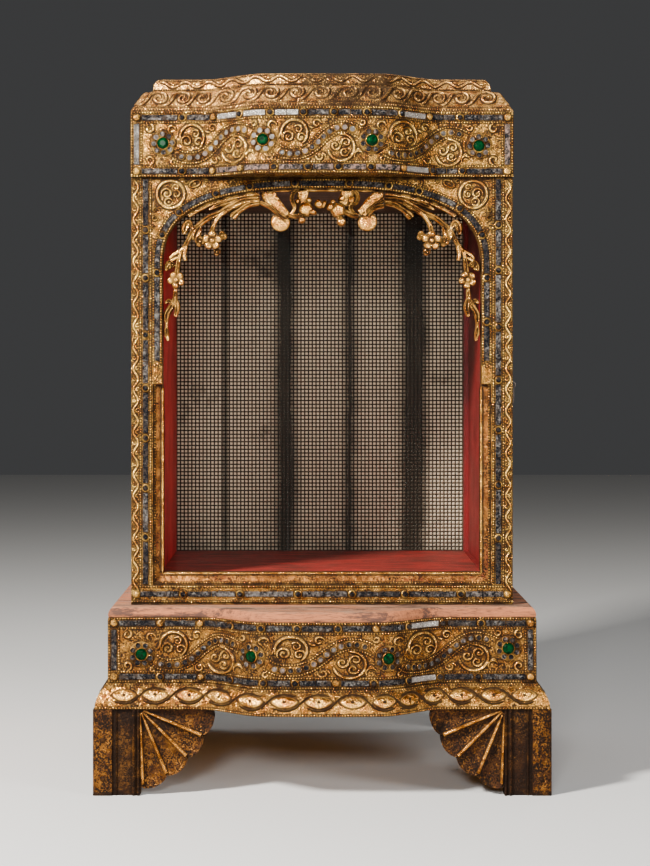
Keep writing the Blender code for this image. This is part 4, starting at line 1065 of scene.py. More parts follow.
def build_carved_front(name, look, seed, half, front, thickness, low, high, spec):
    """The carved board of the frieze or plinth, with its mirrors and stones."""
    board, relief, inlay = Shape(look), Shape(look, ornament_crease), Shape(mirrors)
    bowed_block(board, half, front, front + thickness, low, high)
    face = bowed_face(front)
    centres = carved_panel(relief, inlay, half, low, high, face, spec, np.random.default_rng(seed))
    make(name + "_carved", [board, relief], replaces=(name + "_front",))
    make(name + "_mirrors", [inlay])
    for i, (centre, sides) in enumerate(zip(centres, spec["stone_sides"])):
        stone_piece(f"{name}_stone_{i + 1}", face, centre, sides, spec["stone_turn"] * i)


def build_plinth_top():
    """The bare board on the plinth, with its rounded front edge."""
    rings = []
    depth = plinth_top_high - plinth_top_low
    for back, up in ((0.12, 0.0), (0.0, 0.12), (0.02, 0.35), (0.22, 0.62), (0.55, 0.84), (1.0, 1.0)):
        z = plinth_top_low + depth * up
        rings.append(plan_ring(plinth_half, plinth_front_y, plinth_back_y, z, 0.0045 * back))
    top = Shape(top_wood)
    loft(top, rings)
    make("plinth_top_board", [top], replaces=("plinth_top",))


# Foot moulding and cap


def profile_from(shares, inset, rise):
    """A (setback, rise) profile from its shares of the whole inset and rise."""
    return [(inset * back, rise * up) for back, up in shares]


cap_step = 0.0229
moulding_profile = profile_from(
    (
        (0.0, 0.0), (0.0, 0.10), (0.04, 0.26), (0.13, 0.42),
        (0.28, 0.59), (0.5, 0.74), (0.72, 0.88), (0.94, 1.0),
    ),
    0.015, moulding_height,
)
cap_lower_profile = profile_from(
    ((0.0, 0.0), (0.05, 0.10), (0.16, 0.22), (0.36, 0.50), (0.57, 0.80), (0.78, 0.93), (1.0, 1.0)),
    cap_step, cap_lower_high - cap_lower_low,
)
cap_upper_profile = profile_from(
    ((0.0, 0.0), (0.01, 0.2), (0.06, 0.42), (0.20, 0.64), (0.40, 0.82), (0.68, 0.95), (1.0, 1.0)),
    0.0100, cap_upper_high - cap_upper_low,
)


def sloped_block(look, half, front, back, low, profile, inset=0.0, back_share=1.0, tone=0.0):
    """A board with a moulded front and sides; back_share is how much of the profile its back has."""
    rings = []
    for setback, rise in profile:
        setback += inset
        rings.append(plan_ring(half, front, back, low + rise, setback, setback * back_share))
    shape = Shape(look)
    loft(shape, rings, tone=tone)
    return shape


def level(half, v):
    """A level path right across a front."""
    return level_line(-half, half, v, 260)


eye_places = (
    -0.864, -0.729, -0.581, -0.448, -0.310, -0.163, -0.016,
    0.129, 0.266, 0.376, 0.485, 0.608, 0.748, 0.883,
)
stroke_places = (
    (-0.34, -0.72), (0.0, -1.0), (0.30, -0.70), (0.5, 0.0), (0.70, 0.70), (1.0, 1.0), (1.34, 0.72),
)


def eye(relief, face, x, middle, half_width, half_height, rise):
    """A pointed oval in a groove painted dark with shade and dirt, with a small pupil."""
    angles = turns_of(24)
    across = np.cos(angles)
    up = np.sign(np.sin(angles)) * np.abs(np.sin(angles)) ** 1.5
    rings = []
    for share, lift in ((1.14, -0.0003), (1.09, 0.0003), (0.94, 0.0004), (0.86, rise * 0.8), (0.45, rise)):
        points, normals = face(x + across * half_width * share, middle + up * half_height * share)
        rings.append(points + normals * lift)
    # Painted shade and dirt in the groove round the eye
    grime = np.repeat((1.0, 1.0, 0.9, 0.0, 0.0), 24)
    relief.grid(np.array(rings), closed_rows=True, ends=True, grime=grime)
    pupil = ((0.0017, 0.0), (0.0012, 0.0005))
    turned(relief, raised(face, rise * 1.1), [(x, middle)], pupil, 8, grime=(1.0, 1.0))


def eye_row(relief, face, places, low_v, high_v, rise=0.0010, turn_at=9.0):
    """Eyes, with strokes that run beneath one and over the next, and the other way past turn_at."""
    middle, half_height = (low_v + high_v) / 2, (high_v - low_v) / 2
    gaps = np.diff(places)
    widths = np.concatenate((gaps[:1], (gaps[1:] + gaps[:-1]) / 2, gaps[-1:]))
    for x, width in zip(places, widths):
        eye(relief, face, x, middle, width * 0.40, half_height * 0.74, rise)
    for x, gap_width in zip(places, gaps):
        way = 1 if x + gap_width / 2 < turn_at else -1
        stroke = [(x + gap_width * a, middle + way * half_height * b) for a, b in stroke_places]
        thread(relief, face, smooth_path(stroke, 6), thread_width * 0.44, thread_height * 0.60, crest=1.0)


def build_foot_moulding():
    """The moulded board under the plinth, with a row of eyes between lines of beads."""
    relief = Shape(moulding_gilding, ornament_crease)
    board_half = moulding_half - ornament_room
    board = sloped_block(
        moulding_gilding, board_half, moulding_front_y, moulding_back_y, moulding_low, moulding_profile,
        back_share=0.0, tone=0.7,
    )
    face = sloped_face(moulding_front_y, moulding_low, moulding_profile)
    length = run_lengths(moulding_profile)[-1]
    eye_row(relief, face, np.array(eye_places) * moulding_half, length * 0.20, length * 0.80, turn_at=0.03)
    for v in (0.05, 0.93):
        beaded(relief, face, level(board_half - 0.002 - 0.012 * v, length * v))
    spots = spaced(face, level(moulding_half - 0.012, length * 0.86), 0.0042)
    turned(relief, face, spots, ((0.0009, 0.0), (0.0006, 0.0005), (0.0, 0.0006)), 6, grime=(1.0, 0.4, 0.2))
    near, far = moulding_front_y + 0.012, moulding_back_y - 0.012
    for side in (-1, 1):
        end = sloped_side(board_half, side, moulding_low, moulding_profile)
        for v in (0.12, 0.93):
            beaded(relief, end, level_line(near, far, length * v, 60))
        places = np.linspace(near + 0.015, far - 0.015, 11)
        eye_row(relief, end, places, length * 0.22, length * 0.80, 0.0007)
    make("foot_moulding_carved", [board, relief], replaces=("foot_moulding",))


cap_spirals = (
    -0.856, -0.730, -0.625, -0.501, -0.378, -0.264, -0.135, -0.007,
    0.137, 0.261, 0.392, 0.500, 0.610, 0.731, 0.867,
)
spiral_tail = ((0.92, 1.0), (0.74, 0.92), (0.55, 0.40))


def running_spirals(relief, face, places, low_v, high_v):
    """A row of spirals: each rises from the lower left, rolls over the top and hooks in to its middle."""
    middle, reach = (low_v + high_v) / 2, (high_v - low_v) / 2
    for x, width in zip(places, np.gradient(places)):
        tail = [(x - share * width, middle - drop * reach) for share, drop in spiral_tail]
        spiral = curl((x, middle), reach, math.pi * 0.86, -1.45, 0.16, 0.40 * width / reach, 36)
        path = np.vstack((smooth_path([*tail, spiral[0]], 4), spiral[1:]))
        thread(relief, face, path, thread_width * 1.1, thread_height)
        boss(relief, face, (x, middle), 0.0012, 0.0009, 0.0008, 0.001, grime=(1.0, 0.2, 0.0))


def build_lower_cap():
    """The sloping lower board of the roof, with a row of running spirals."""
    relief = Shape(cap_gilding, ornament_crease)
    board = sloped_block(
        cap_gilding, frame_half, frieze_front_y, case_back, cap_lower_low, cap_lower_profile
    )
    length = run_lengths(cap_lower_profile)[-1]
    face = sloped_face(frieze_front_y, cap_lower_low, cap_lower_profile)
    running_spirals(relief, face, np.array(cap_spirals) * frame_half, length * 0.24, length * 0.84)
    beaded(relief, face, level(frame_half - 0.003, length * 0.055))
    beaded(relief, face, level(frame_half - 0.006, length * 0.175), radius=0.0010, pitch=0.0026)
    thread(relief, face, level(frame_half - 0.024, length * 0.97), 0.0016, 0.0008)
    near, far = frieze_front_y + 0.02, case_back - 0.02
    for side in (-1, 1):
        end = sloped_side(frame_half, side, cap_lower_low, cap_lower_profile)
        places = np.linspace(near + 0.006, far - 0.006, 13)
        running_spirals(relief, end, places, length * 0.24, length * 0.84)
        for v in (0.045, 0.16):
            beaded(relief, end, level_line(near - 0.014, far + 0.014, length * v, 60))
    make("roof_cap_lower_carved", [board, relief], replaces=("roof_cap_lower",))


def build_upper_cap():
    """The rounded upper board of the roof, with a wave between lines of beads."""
    relief = Shape(cap_gilding, ornament_crease)
    board = sloped_block(
        cap_gilding, frame_half, frieze_front_y, case_back, cap_upper_low, cap_upper_profile, cap_step
    )
    length = run_lengths(cap_upper_profile)[-1]
    face = sloped_face(frieze_front_y + cap_step, cap_upper_low, cap_upper_profile)
    half = frame_half - cap_step
    wave = (length * 0.40, length * 0.17, 0.0265)
    thread(relief, face, wave_line(-half + 0.006, half - 0.006, 500, *wave), 0.0022, 0.0016)
    for v, inset in ((0.055, 0.0005), (0.70, 0.006)):
        beaded(relief, face, level(half - inset, length * v), radius=0.0009, pitch=0.0026)
    near, far = frieze_front_y + 0.030, case_back - 0.030
    for side in (-1, 1):
        end = sloped_side(half, side, cap_upper_low, cap_upper_profile)
        thread(relief, end, wave_line(near, far, 260, *wave), 0.0017, 0.0008)
        beaded(relief, end, level_line(near, far, length * 0.045, 260), radius=0.0007, pitch=0.0022)
    make("roof_cap_upper_carved", [board, relief], replaces=("roof_cap_upper",))


# Front frame


def outline_mesh(name, outlines, near, far, ease):
    """A board cut to flat outlines in XZ, with eased edges."""
    curve = bpy.data.curves.new(name, "CURVE")
    curve.dimensions = "2D"
    curve.fill_mode = "BOTH"
    curve.extrude = (far - near) / 2 - ease
    curve.bevel_depth = ease
    curve.bevel_resolution = 1
    curve.offset = -ease
    for outline in outlines:
        spline = curve.splines.new("POLY")
        spline.points.add(len(outline) - 1)
        for point, (u, v) in zip(spline.points, outline):
            point.co = (u, v, 0.0, 1.0)
        spline.use_cyclic_u = True
    shape = bpy.data.objects.new(name, curve)
    bpy.context.scene.collection.objects.link(shape)
    shape.rotation_euler = (math.pi / 2, 0.0, 0.0)
    shape.location = (0.0, (near + far) / 2, 0.0)
    bpy.context.view_layer.update()
    mesh = bpy.data.meshes.new_from_object(shape.evaluated_get(bpy.context.evaluated_depsgraph_get()))
    mesh.transform(shape.matrix_world)
    bpy.data.objects.remove(shape)
    return mesh


def opening_outline():
    """The outline of the frame's opening, with seats for the slips in its lower part."""
    seat = opening_half_width + slip_width
    left = [(-seat, opening_low), (-seat, slip_high), (-opening_half_width, slip_high)]
    right = [(-x, z) for x, z in reversed(left)]
    return left + [tuple(spot) for spot in arch_path(0.0)] + right


left_studs = (0.877, 0.765, 0.631, 0.507, 0.390, 0.273, 0.158)
right_studs = (0.889, 0.783, 0.650, 0.526, 0.409, 0.280, 0.156)
arch_studs = (
    (-0.1852, 0.5681), (-0.1757, 0.6112), (-0.1581, 0.6377), (-0.1161, 0.6598), (-0.0774, 0.6680),
    (-0.0300, 0.6710), (0.0300, 0.6710), (0.0740, 0.6690), (0.1083, 0.6642), (0.1536, 0.6421),
    (0.1768, 0.6123), (0.1862, 0.5648), (0.1867, 0.5128),
)
base_studs = (-0.728, -0.430, -0.126, 0.157, 0.435, 0.728)


def dark_look(rng, low=-0.10, high=0.12):
    """A look for strips that have lost their silver, each a little different."""
    def look(spot):
        return rng.uniform(low, high), rng.uniform(0.0, 0.15)
    return look


def vine(relief, face, edge, foot, top):
    """A waving stem up the outer edge of the frame, with a curl in each of its bends."""
    pitch = 0.0235
    stem = wave_line(foot - 0.018, top - 0.001, 420, edge, 0.0026, pitch)[:, ::-1]
    thread(relief, face, stem, 0.0021, 0.0015)
    for i in range(int((top - foot + 0.014) / (pitch / 2))):
        z = foot - 0.014 + (i + 0.5) * pitch / 2
        turn = 1 if math.sin(math.tau * z / pitch) > 0 else -1
        spiral = curl((edge - turn * 0.0018, z), 0.0026, 0.25 * math.pi, -turn, 0.3)
        thread(relief, face, spiral, 0.0017, 0.0014)


def column(relief, inlay, face, side, studs, rng):
    """One side of the frame: strips and studs between beaded lines, and the vine outside them."""
    inner, outer = frame_half - 0.0215, frame_half - 0.0105
    foot, top = case_low + 0.0225, case_high - 0.0015
    for x in (inner, outer):
        beaded(relief, face, upright_line(side * x, foot, top, 80))
    path = upright_line(side * (inner + outer) / 2, foot, top, 80)
    stops = sorted(case_low + share * (case_high - case_low) - foot for share in studs)
    strip_row(relief, inlay, face, path, stops, dark_look(rng), rng)
    vine(relief, face, side * (frame_half - 0.0052), foot, top)
    rim = upright_line(side * (frame_half - rim_inset), foot - 0.02, top, 80)
    beaded(relief, face, rim, radius=0.0007, pitch=0.0019)


fern_centre = (0.1672, 0.6562)
fern_curls = (
    # across and up from the centre, radius, start angle, turns, tightness
    (-0.0042, 0.0008, 0.0066, 3.6, -1.5, 0.15), (0.0058, 0.0078, 0.0036, 3.4, -1.4, 0.2),
    (0.0062, 0.0002, 0.0046, 2.2, -1.4, 0.15), (-0.0022, -0.0084, 0.0042, 0.0, 1.0, 1.0),
)
small_curls = (
    # across, height, radius, turns
    (0.1850, 0.6300, 0.0034, 1.2), (0.1846, 0.6390, 0.0026, -1.2), (0.1500, 0.6700, 0.0026, 1.2),
    (0.1275, 0.6712, 0.0020, -1.2), (0.1866, 0.6195, 0.0022, -1.0),
)


def spandrel(relief, face, side):
    """A ring of fern-like curls in the corner over the arch, with a bud and small curls beside it."""
    centre = (side * fern_centre[0], fern_centre[1])
    ring = curl(centre, 0.0150, 0.3, 1.0, 1.0, 1.0, 60)[:-1]
    thread(relief, face, ring, thread_width * 1.2, closed=True)
    for across, up, radius, start, turns, tightness in fern_curls:
        spot = (centre[0] - side * across, centre[1] + up)
        path = curl(spot, radius, math.pi - start if side > 0 else start, -side * turns, tightness)
        thread(relief, face, path, thread_width * 0.9)
        boss(relief, face, spot, 0.0014, 0.0010, 0.0009, 0.0012)
    angles = turns_of(29)
    across = side * (0.1404 + 0.0060 * np.cos(angles))
    up = 0.6680 + 0.0036 * np.sin(angles) - 0.0018 * np.cos(angles)
    thread(relief, face, np.stack((across, up), -1), thread_width * 0.8, closed=True)
    boss(relief, face, (side * 0.1404, 0.6680), 0.0018, 0.0013, 0.0012, 0.0016, 10)
    for x, z, radius, turns in small_curls:
        thread(relief, face, curl((side * x, z), radius, 0.5, side * turns, 0.3), 0.0015)


def upright_slip_face(side, seat, front):
    """The sloping face of an upright slip, with u from its outer edge and v up."""
    lean = slip_slope / slip_width

    def at(u, v):
        points = np.stack((side * (seat - u), front + u * lean, v), -1)
        return points, np.broadcast_to(unit(np.array((-side * lean, -1.0, 0.0))), points.shape)
    return at


def level_slip_face(front):
    """The sloping face of the slip at the foot of the opening, with u across and v up."""
    lean = slip_slope / slip_depth

    def at(u, v):
        points = np.stack((u, front + v * lean, opening_low + gap + v), -1)
        return points, np.broadcast_to(unit(np.array((0.0, -1.0, lean))), points.shape)
    return at


def build_slip_lines():
    """Gilt lines along the sloping slips round the lower opening, mitred at the lower corners."""
    relief = Shape(plinth_gilding, ornament_crease)
    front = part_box("slip_bottom")[0].y + 0.0001
    seat = opening_half_width + slip_width - gap
    for share, draw in ((0.14, beaded), (0.92, thread)):
        up, u = share * slip_depth, share * slip_width
        for side in (-1, 1):
            legs = upright_line(u, opening_low + gap + up, slip_high - 0.0015, 2)
            draw(relief, upright_slip_face(side, seat, front), legs)
        ends = seat - u - 0.0006
        draw(relief, level_slip_face(front), level_line(-ends, ends, up, 2))
    make("slip_lines", [relief])


def arched_line(grow, grow_up, foot):
    """The arch grown outwards, with legs down to a foot on both sides."""
    edge = opening_half_width + grow
    legs = np.linspace(foot, arch_spring, 20)[:-1]
    left, right = [(-edge, z) for z in legs], [(edge, z) for z in legs[::-1]]
    return np.array(left + arch_path(grow, grow_up).tolist() + right)


def arch_border(relief, inlay, face, rng):
    """Strips and studs between two beaded lines round the arch, which end in rounded feet."""
    foot = 0.4700
    for grow, up in ((0.0016, 0.0016), (0.0098, 0.0092)):
        beaded(relief, face, arched_line(grow, up, foot))
    path = arched_line(0.0057, 0.0054, foot + 0.002)
    lengths = run_lengths(path)
    nearest = [np.argmin(np.linalg.norm(path - spot, axis=1)) for spot in arch_studs]
    stops = sorted(float(lengths[i]) for i in nearest)
    strip_row(relief, inlay, face, path, stops, dark_look(rng), rng, margin=0.0048)
    half_turn = np.linspace(math.pi, math.tau, 14)
    for side in (-1, 1):
        across = side * (opening_half_width + 0.0057 + 0.0041 * np.cos(half_turn))
        beaded(relief, face, np.stack((across, foot + 0.0041 * np.sin(half_turn)), -1))
        spandrel(relief, face, side)


def build_front_frame():
    """The board round the arched opening, with all its lines, strips and studs."""
    board, relief, inlay = Shape(gilding), Shape(gilding, ornament_crease), Shape(mirrors)
    rng = np.random.default_rng(5)
    corners = ((-1, case_low), (1, case_low), (1, case_high), (-1, case_high))
    outlines = [[(side * frame_half, z) for side, z in corners], opening_outline()]
    back = case_front + frame_thickness
    board.take(outline_mesh("frame_board", outlines, case_front, back, 0.0008), tone=1.0)
    face = flat_face(case_front)
    column(relief, inlay, face, -1, left_studs, rng)
    column(relief, inlay, face, 1, right_studs, rng)
    for rise in (0.0032, 0.0198):
        beaded(relief, face, level_line(0.001 - frame_half, frame_half - 0.001, case_low + rise, 200))
    row_half, row_z = frame_half - 0.010, case_low + 0.0115
    stops = [share * frame_half + row_half for share in base_studs]
    row = level_line(-row_half, row_half, row_z, 200)
    strip_row(relief, inlay, face, row, stops, dark_look(rng, -0.05, 0.20), rng)
    for side in (-1, 1):
        gilt_stud(relief, face, (side * (frame_half - 0.006), row_z), 0.0044)
    arch_border(relief, inlay, face, rng)
    make("front_frame_carved", [board, relief], replaces=("front_frame",))
    build_slip_lines()
    make("front_frame_mirrors", [inlay])


# Pierced carving in the arch

tracery_front = case_front + 0.004
tracery_back = tracery_front + 0.008
seam = 0.391 * opening_half_width


def leaf(shape, places, side=1, groove=True, lift=0.0, crown=0.0030, steps=7):
    """A carved leaf or stem with a rounded face, and a valley between two ridges where it is broad.

    Places are (across from the middle line, down from the crown of the arch, width) in millimetres."""
    spots = []
    for across, down, width in places:
        spots.append((side * across / 1000, arch_crown - down / 1000, width / 1000))
    path = smooth_path(spots, steps)
    along = unit(np.gradient(path[:, :2], axis=0))
    turn = np.stack((-along[:, 1], np.zeros(len(path)), along[:, 0]), -1)
    across = np.array((-0.5, -0.5, -0.44, -0.30, -0.13, 0.0, 0.13, 0.30, 0.44, 0.5, 0.5))
    grid = []
    for spot, beside in zip(path, turn):
        width = spot[2]
        valley = min(0.42 * width, 0.0022) if groove and width > 0.0042 else 0.0
        near = tracery_front - lift
        round_off = min(crown, 0.5 * width)
        half = (tracery_back, near + round_off, near + 0.42 * round_off, near, near + 0.25 * valley)
        points = np.array((spot[0], 0.0, spot[1])) + beside * (across * width)[:, None]
        points[:, 1] = (*half, near + valley, *half[::-1])
        grid.append(points)
    grid = np.array(grid)
    if max(abs(across) for across, down, width in places) <= seam * 1000 + 0.5:
        grid[:, :, 0] = np.clip(grid[:, :, 0], 0.0004 - seam, seam - 0.0004)
    else:
        grid[:, :, 0] = np.sign(grid[:, :, 0]) * np.maximum(np.abs(grid[:, :, 0]), seam + 0.0004)
    # Painted shade and dirt down the sides of a leaf and in its valley
    half = (0.9, 0.5, 0.0, 0.0, 0.1)
    grime = (*half, 0.8 if groove else 0.0, *half[::-1])
    shape.grid(grid, closed_rows=True, ends=True, grime=np.tile(grime, (len(path), 1)))


flower_rings = (
    # share of the radius, depth behind the front, depth of the cuts between petals
    (1.0, 0.0030, 0.6), (0.90, 0.0010, 1.6), (0.70, 0.0006, 1.4), (0.46, 0.0022, 0.6),
    (0.30, 0.0030, 0.0), (0.27, 0.0010, 0.0), (0.14, -0.0002, 0.0),
)


def flower(shape, x, z, radius, petals, lift, phase):
    """A carved flower: cupped petals round a ball."""
    angles = turns_of(12 * petals)
    lobe = np.abs(np.cos(petals * angles / 2)) ** 0.55
    near = tracery_front - lift
    rings = []
    for reach, depth, deep in flower_rings:
        edge = radius * reach * (0.66 + 0.34 * lobe if reach > 0.4 else 0.9)
        spots = around((x, z), edge, angles + phase)
        if not rings:
            rings.append(np.insert(spots, 1, tracery_back - 0.0005, axis=1))
        rings.append(np.insert(spots, 1, near + depth + 0.0016 * deep * (1 - lobe), axis=1))
    # Painted shade and dirt at the back and in the hollow round the ball
    grime = np.repeat((0.9, 0.3, 0.0, 0.0, 0.5, 0.95, 0.3, 0.0), len(angles))
    shape.grid(np.array(rings)[::-1][:, ::-1], closed_rows=True, ends=True, grime=grime[::-1])


def lump(shape, x, z, across, up, lift, tilt, knobs):
    """A rounded mass of carving, with a few cuts across it."""
    angles = turns_of(28)
    rings = []
    for share, rise in ((1.0, -0.008), (1.0, 0.0), (0.90, 0.5), (0.70, 0.82), (0.42, 0.97), (0.15, 1.0)):
        wobble = 1 + 0.10 * np.sin(knobs * angles) * (1.0 if 0.3 < share < 1.0 else 0.3)
        a, b = across * share * wobble * np.cos(angles), up * share * wobble * np.sin(angles)
        y = tracery_front + 0.003 - (rise if rise < 0 else rise * lift)
        dx = a * math.cos(tilt) - b * math.sin(tilt)
        dz = a * math.sin(tilt) + b * math.cos(tilt)
        rings.append(np.stack((x + dx, np.full_like(dx, y), z + dz), -1))
    # Painted shade and dirt round the foot of the mass
    grime = np.repeat((0.9, 0.7, 0.1, 0.0, 0.0, 0.0), len(angles))
    shape.grid(np.array(rings)[::-1][:, ::-1], closed_rows=True, ends=True, grime=grime[::-1])


side_leaves = (
    # the long blades that start at the seam
    ((68.8, 8.6, 6.0), (86.9, 9.9, 6.8), (106.2, 15.6, 6.0), (118.0, 20.0, 4.5), (124.6, 23.4, 2.0)),
    ((68.8, 11.9, 6.5), (86.9, 13.6, 8.0), (100.7, 20.2, 8.5), (111.8, 26.6, 7.2), (125.6, 32.5, 6.0),
     (136.0, 40.4, 5.5), (144.3, 49.4, 5.2), (149.2, 59.1, 4.6), (155.4, 68.1, 4.0), (164.4, 73.2, 3.4),
     (168.6, 77.6, 2.2)),
    ((68.8, 15.6, 6.0), (81.3, 17.9, 6.2), (91.0, 24.4, 5.0), (96.6, 28.8, 8.0), (99.4, 32.2, 7.0)),
    # stems and leaves of the two flowers
    ((101.0, 21.6, 4.5), (113.2, 30.0, 4.0), (119.4, 39.7, 4.0), (122.2, 48.0, 5.0)),
    ((142.6, 45.4, 3.0), (147.6, 37.4, 6.5), (151.4, 43.0, 9.0), (152.8, 50.4, 3.0)),
    ((135.4, 42.4, 4.0), (139.6, 50.1, 11.0), (141.8, 57.2, 4.0)),
    ((150.5, 64.0, 4.0), (152.8, 73.3, 3.8), (150.9, 79.5, 3.6)),
    ((155.8, 68.6, 3.6), (158.9, 78.5, 4.2), (160.9, 93.0, 5.0)),
    ((160.5, 76.6, 3.0), (167.0, 80.0, 4.0), (171.6, 84.6, 6.0), (173.4, 91.0, 3.0)),
    # the leaves below them
    ((162.2, 108.0, 3.0), (163.0, 121.4, 5.2), (167.2, 131.1, 6.5), (172.0, 139.4, 7.0),
     (172.6, 151.9, 3.4), (172.4, 159.5, 5.6), (170.6, 168.5, 2.6)),
    ((163.0, 120.0, 3.4), (160.6, 131.1, 6.4), (162.6, 141.8, 3.6)),
    ((165.0, 128.0, 4.0), (169.5, 124.5, 5.0), (173.8, 127.0, 3.0)),
)
side_flowers = (
    # across, down, radius, petals, lift
    (121.5, 57.7, 10.6, 5, 0.0034), (161.6, 101.3, 9.4, 5, 0.0034),
    (135.3, 58.6, 5.8, 4, 0.0010), (110.4, 52.4, 5.2, 3, 0.0010), (116.4, 70.2, 4.2, 3, 0.0006),
    (171.0, 86.4, 4.4, 4, 0.0006), (165.4, 84.6, 3.2, 3, 0.0006),
)
centre_slabs = (
    # the broad ends, which run from the rail down to a disc
    ((-59.4, 0.6, 17.4), (-57.6, 10.2, 16.6), (-48.9, 20.0, 12.5), (-38.6, 29.6, 8.0)),
    ((62.4, 0.6, 14.0), (61.4, 8.4, 14.0), (51.4, 18.4, 12.0), (42.0, 27.6, 9.0)),
    ((-21.4, 0.6, 14.0), (-21.4, 8.5, 12.5), (-19.6, 16.0, 10.0)),
    ((28.6, 0.6, 17.0), (27.0, 8.5, 14.5), (22.6, 17.0, 11.0)),
)
centre_leaves = (
    ((-68.4, 15.6, 4.4), (-57.5, 20.8, 4.6), (-49.0, 27.8, 5.0), (-40.4, 33.2, 5.5)),
    ((-37.4, 28.6, 5.6), (-31.0, 30.6, 4.8), (-23.4, 30.8, 5.4)),
    ((-27.4, 1.6, 4.6), (-31.9, 5.4, 5.0), (-33.4, 12.0, 4.8), (-30.4, 20.6, 4.2), (-33.4, 28.6, 3.6)),
    ((-24.4, 27.0, 5.0), (-22.9, 32.6, 5.4)),
    ((68.4, 12.6, 4.4), (60.4, 18.0, 4.6), (52.6, 24.0, 4.4), (46.4, 29.6, 4.0)),
    ((68.4, 19.2, 5.0), (57.7, 21.9, 5.4), (49.9, 30.0, 6.4)),
    ((36.0, 2.6, 4.4), (39.9, 8.8, 4.8), (37.4, 16.4, 4.6), (31.4, 16.8, 4.0)),
    ((32.4, 17.0, 5.6), (31.8, 23.0, 5.0), (36.2, 28.8, 5.4)),
    ((24.4, 25.4, 6.6), (32.6, 29.0, 5.6), (40.4, 30.4, 6.0)),
    ((18.6, 29.6, 6.4), (21.3, 36.0, 6.4)),
)
centre_lumps = (
    # across, down, half width, half height, lift, knobs
    (-45.9, 36.7, 10.6, 10.6, 2.6, 0), (50.4, 36.3, 10.6, 10.6, 2.6, 0),
    (-17.6, 22.8, 8.4, 8.0, 7.0, 5), (17.8, 23.9, 8.2, 8.2, 7.0, 5),
    (-3.8, 17.1, 5.2, 4.8, 6.4, 3), (9.5, 20.1, 4.9, 4.6, 6.4, 3),
    (-10.8, 26.0, 5.4, 3.4, 6.2, 3), (12.0, 15.0, 3.6, 3.2, 5.6, 3),
    (-22.4, 34.4, 4.0, 4.0, 5.0, 3), (21.7, 37.0, 4.8, 4.4, 5.0, 3),
    (2.4, 17.2, 4.4, 3.6, 4.4, 2), (32.6, 12.4, 4.6, 4.6, 5.2, 4),
    (-27.0, 14.0, 3.2, 3.0, 4.8, 3), (-14.4, 13.0, 3.6, 3.2, 5.2, 3), (22.0, 11.0, 4.2, 3.2, 5.0, 4),
)


def arch_rim(shape, low, high, side):
    """The rim of the tracery that lies along the arch, between two distances from the middle line."""
    rim = [(abs(x) * 1000, (arch_crown - z) * 1000, 4.6) for x, z in arch_path(-0.0024) if x > 0]
    places = [place for place in rim[::-1] if low <= place[0] <= high]
    leaf(shape, places[::3], side, False, crown=0.0012, steps=3)


def build_side_tracery(side, label):
    """The left or right board of the pierced carving."""
    shape = Shape(tracery_gilding, 60.0)
    arch_rim(shape, seam * 1000 + 0.5, 150.0, side)
    for places in side_leaves:
        leaf(shape, places, side)
    for i, (across, down, radius, petals, lift) in enumerate(side_flowers):
        x, z = side * across / 1000, arch_crown - down / 1000
        flower(shape, x, z, radius / 1000, petals, lift, 0.3 + 0.5 * i)
    make(f"arch_carving_{label}", [shape], replaces=(f"arch_tracery_{label}",))


def build_centre_tracery():
    """The middle board of the pierced carving: a rail, broad ends, leaves and rounded masses."""
    shape = Shape(tracery_gilding, 60.0)
    rail = [(x, 1.4 + 0.9 * (x / 68.5) ** 2, 3.6) for x in (-68.5, -35.0, 0.0, 35.0, 68.5)]
    leaf(shape, rail, groove=False, crown=0.001)
    for places in centre_slabs:
        leaf(shape, places, groove=False, crown=0.0016)
    for places in centre_leaves:
        leaf(shape, places, lift=0.0012)
    for across, down, half_width, half_height, lift, knobs in centre_lumps:
        x, z = across / 1000, arch_crown - down / 1000
        lump(shape, x, z, half_width / 1000, half_height / 1000, lift / 1000, 0.3 * across, knobs)
    make("arch_carving_centre", [shape], replaces=("arch_tracery_centre",))


# Glass, feet, fittings


def build_back_glass():
    """Cross-ribbed glass: low pyramids in a square grid on the pane's front, with dark grooves between."""
    low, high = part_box("back_glass")
    cells, grooves = Shape(ribbed_pane, 5.0), Shape(pane_grooves, 5.0)
    pitch, groove, depth = 0.0048, 0.0018, 0.0011
    lines = []
    for near, far in ((low.x, high.x), (low.z, high.z)):
        count = round((far - near) / pitch)
        step = (far - near) / count
        starts = near + step * np.arange(count)
        edges = (starts + groove / 2, starts + step - groove / 2)
        lines.append(np.sort(np.concatenate(((near, far), *edges))))
    xs, zs = lines
    wide = len(xs)
    grid_x, grid_z = np.meshgrid(xs, zs)
    corners = np.stack((grid_x, np.full_like(grid_x, low.y + depth), grid_z), -1).reshape(-1, 3)
    tips, faces, flats = [], [], []
    for r in range(len(zs) - 1):
        for c in range(wide - 1):
            a = r * wide + c
            ring = (a, a + 1, a + 1 + wide, a + wide)
            if r % 2 and c % 2:
                tip = len(corners) + len(tips)
                tips.append(((xs[c] + xs[c + 1]) / 2, low.y, (zs[r] + zs[r + 1]) / 2))
                faces += [(ring[k], ring[(k + 1) % 4], tip) for k in range(4)]
            else:
                flats.append(ring)
    cells.add(np.vstack((corners, tips)), faces)
    back = [(high.x, low.z), (low.x, low.z), (low.x, high.z), (high.x, high.z)]
    cells.add([(x, high.y, z) for x, z in back], [(0, 1, 2, 3)])
    grooves.add(corners, flats)
    make("ribbed_back_glass", [cells, grooves], replaces=("back_glass",))


fan_reach = 0.083
fan_lift = 0.0049
fan_notch = 0.0065
foot_post = 0.051
foot_board = 0.018


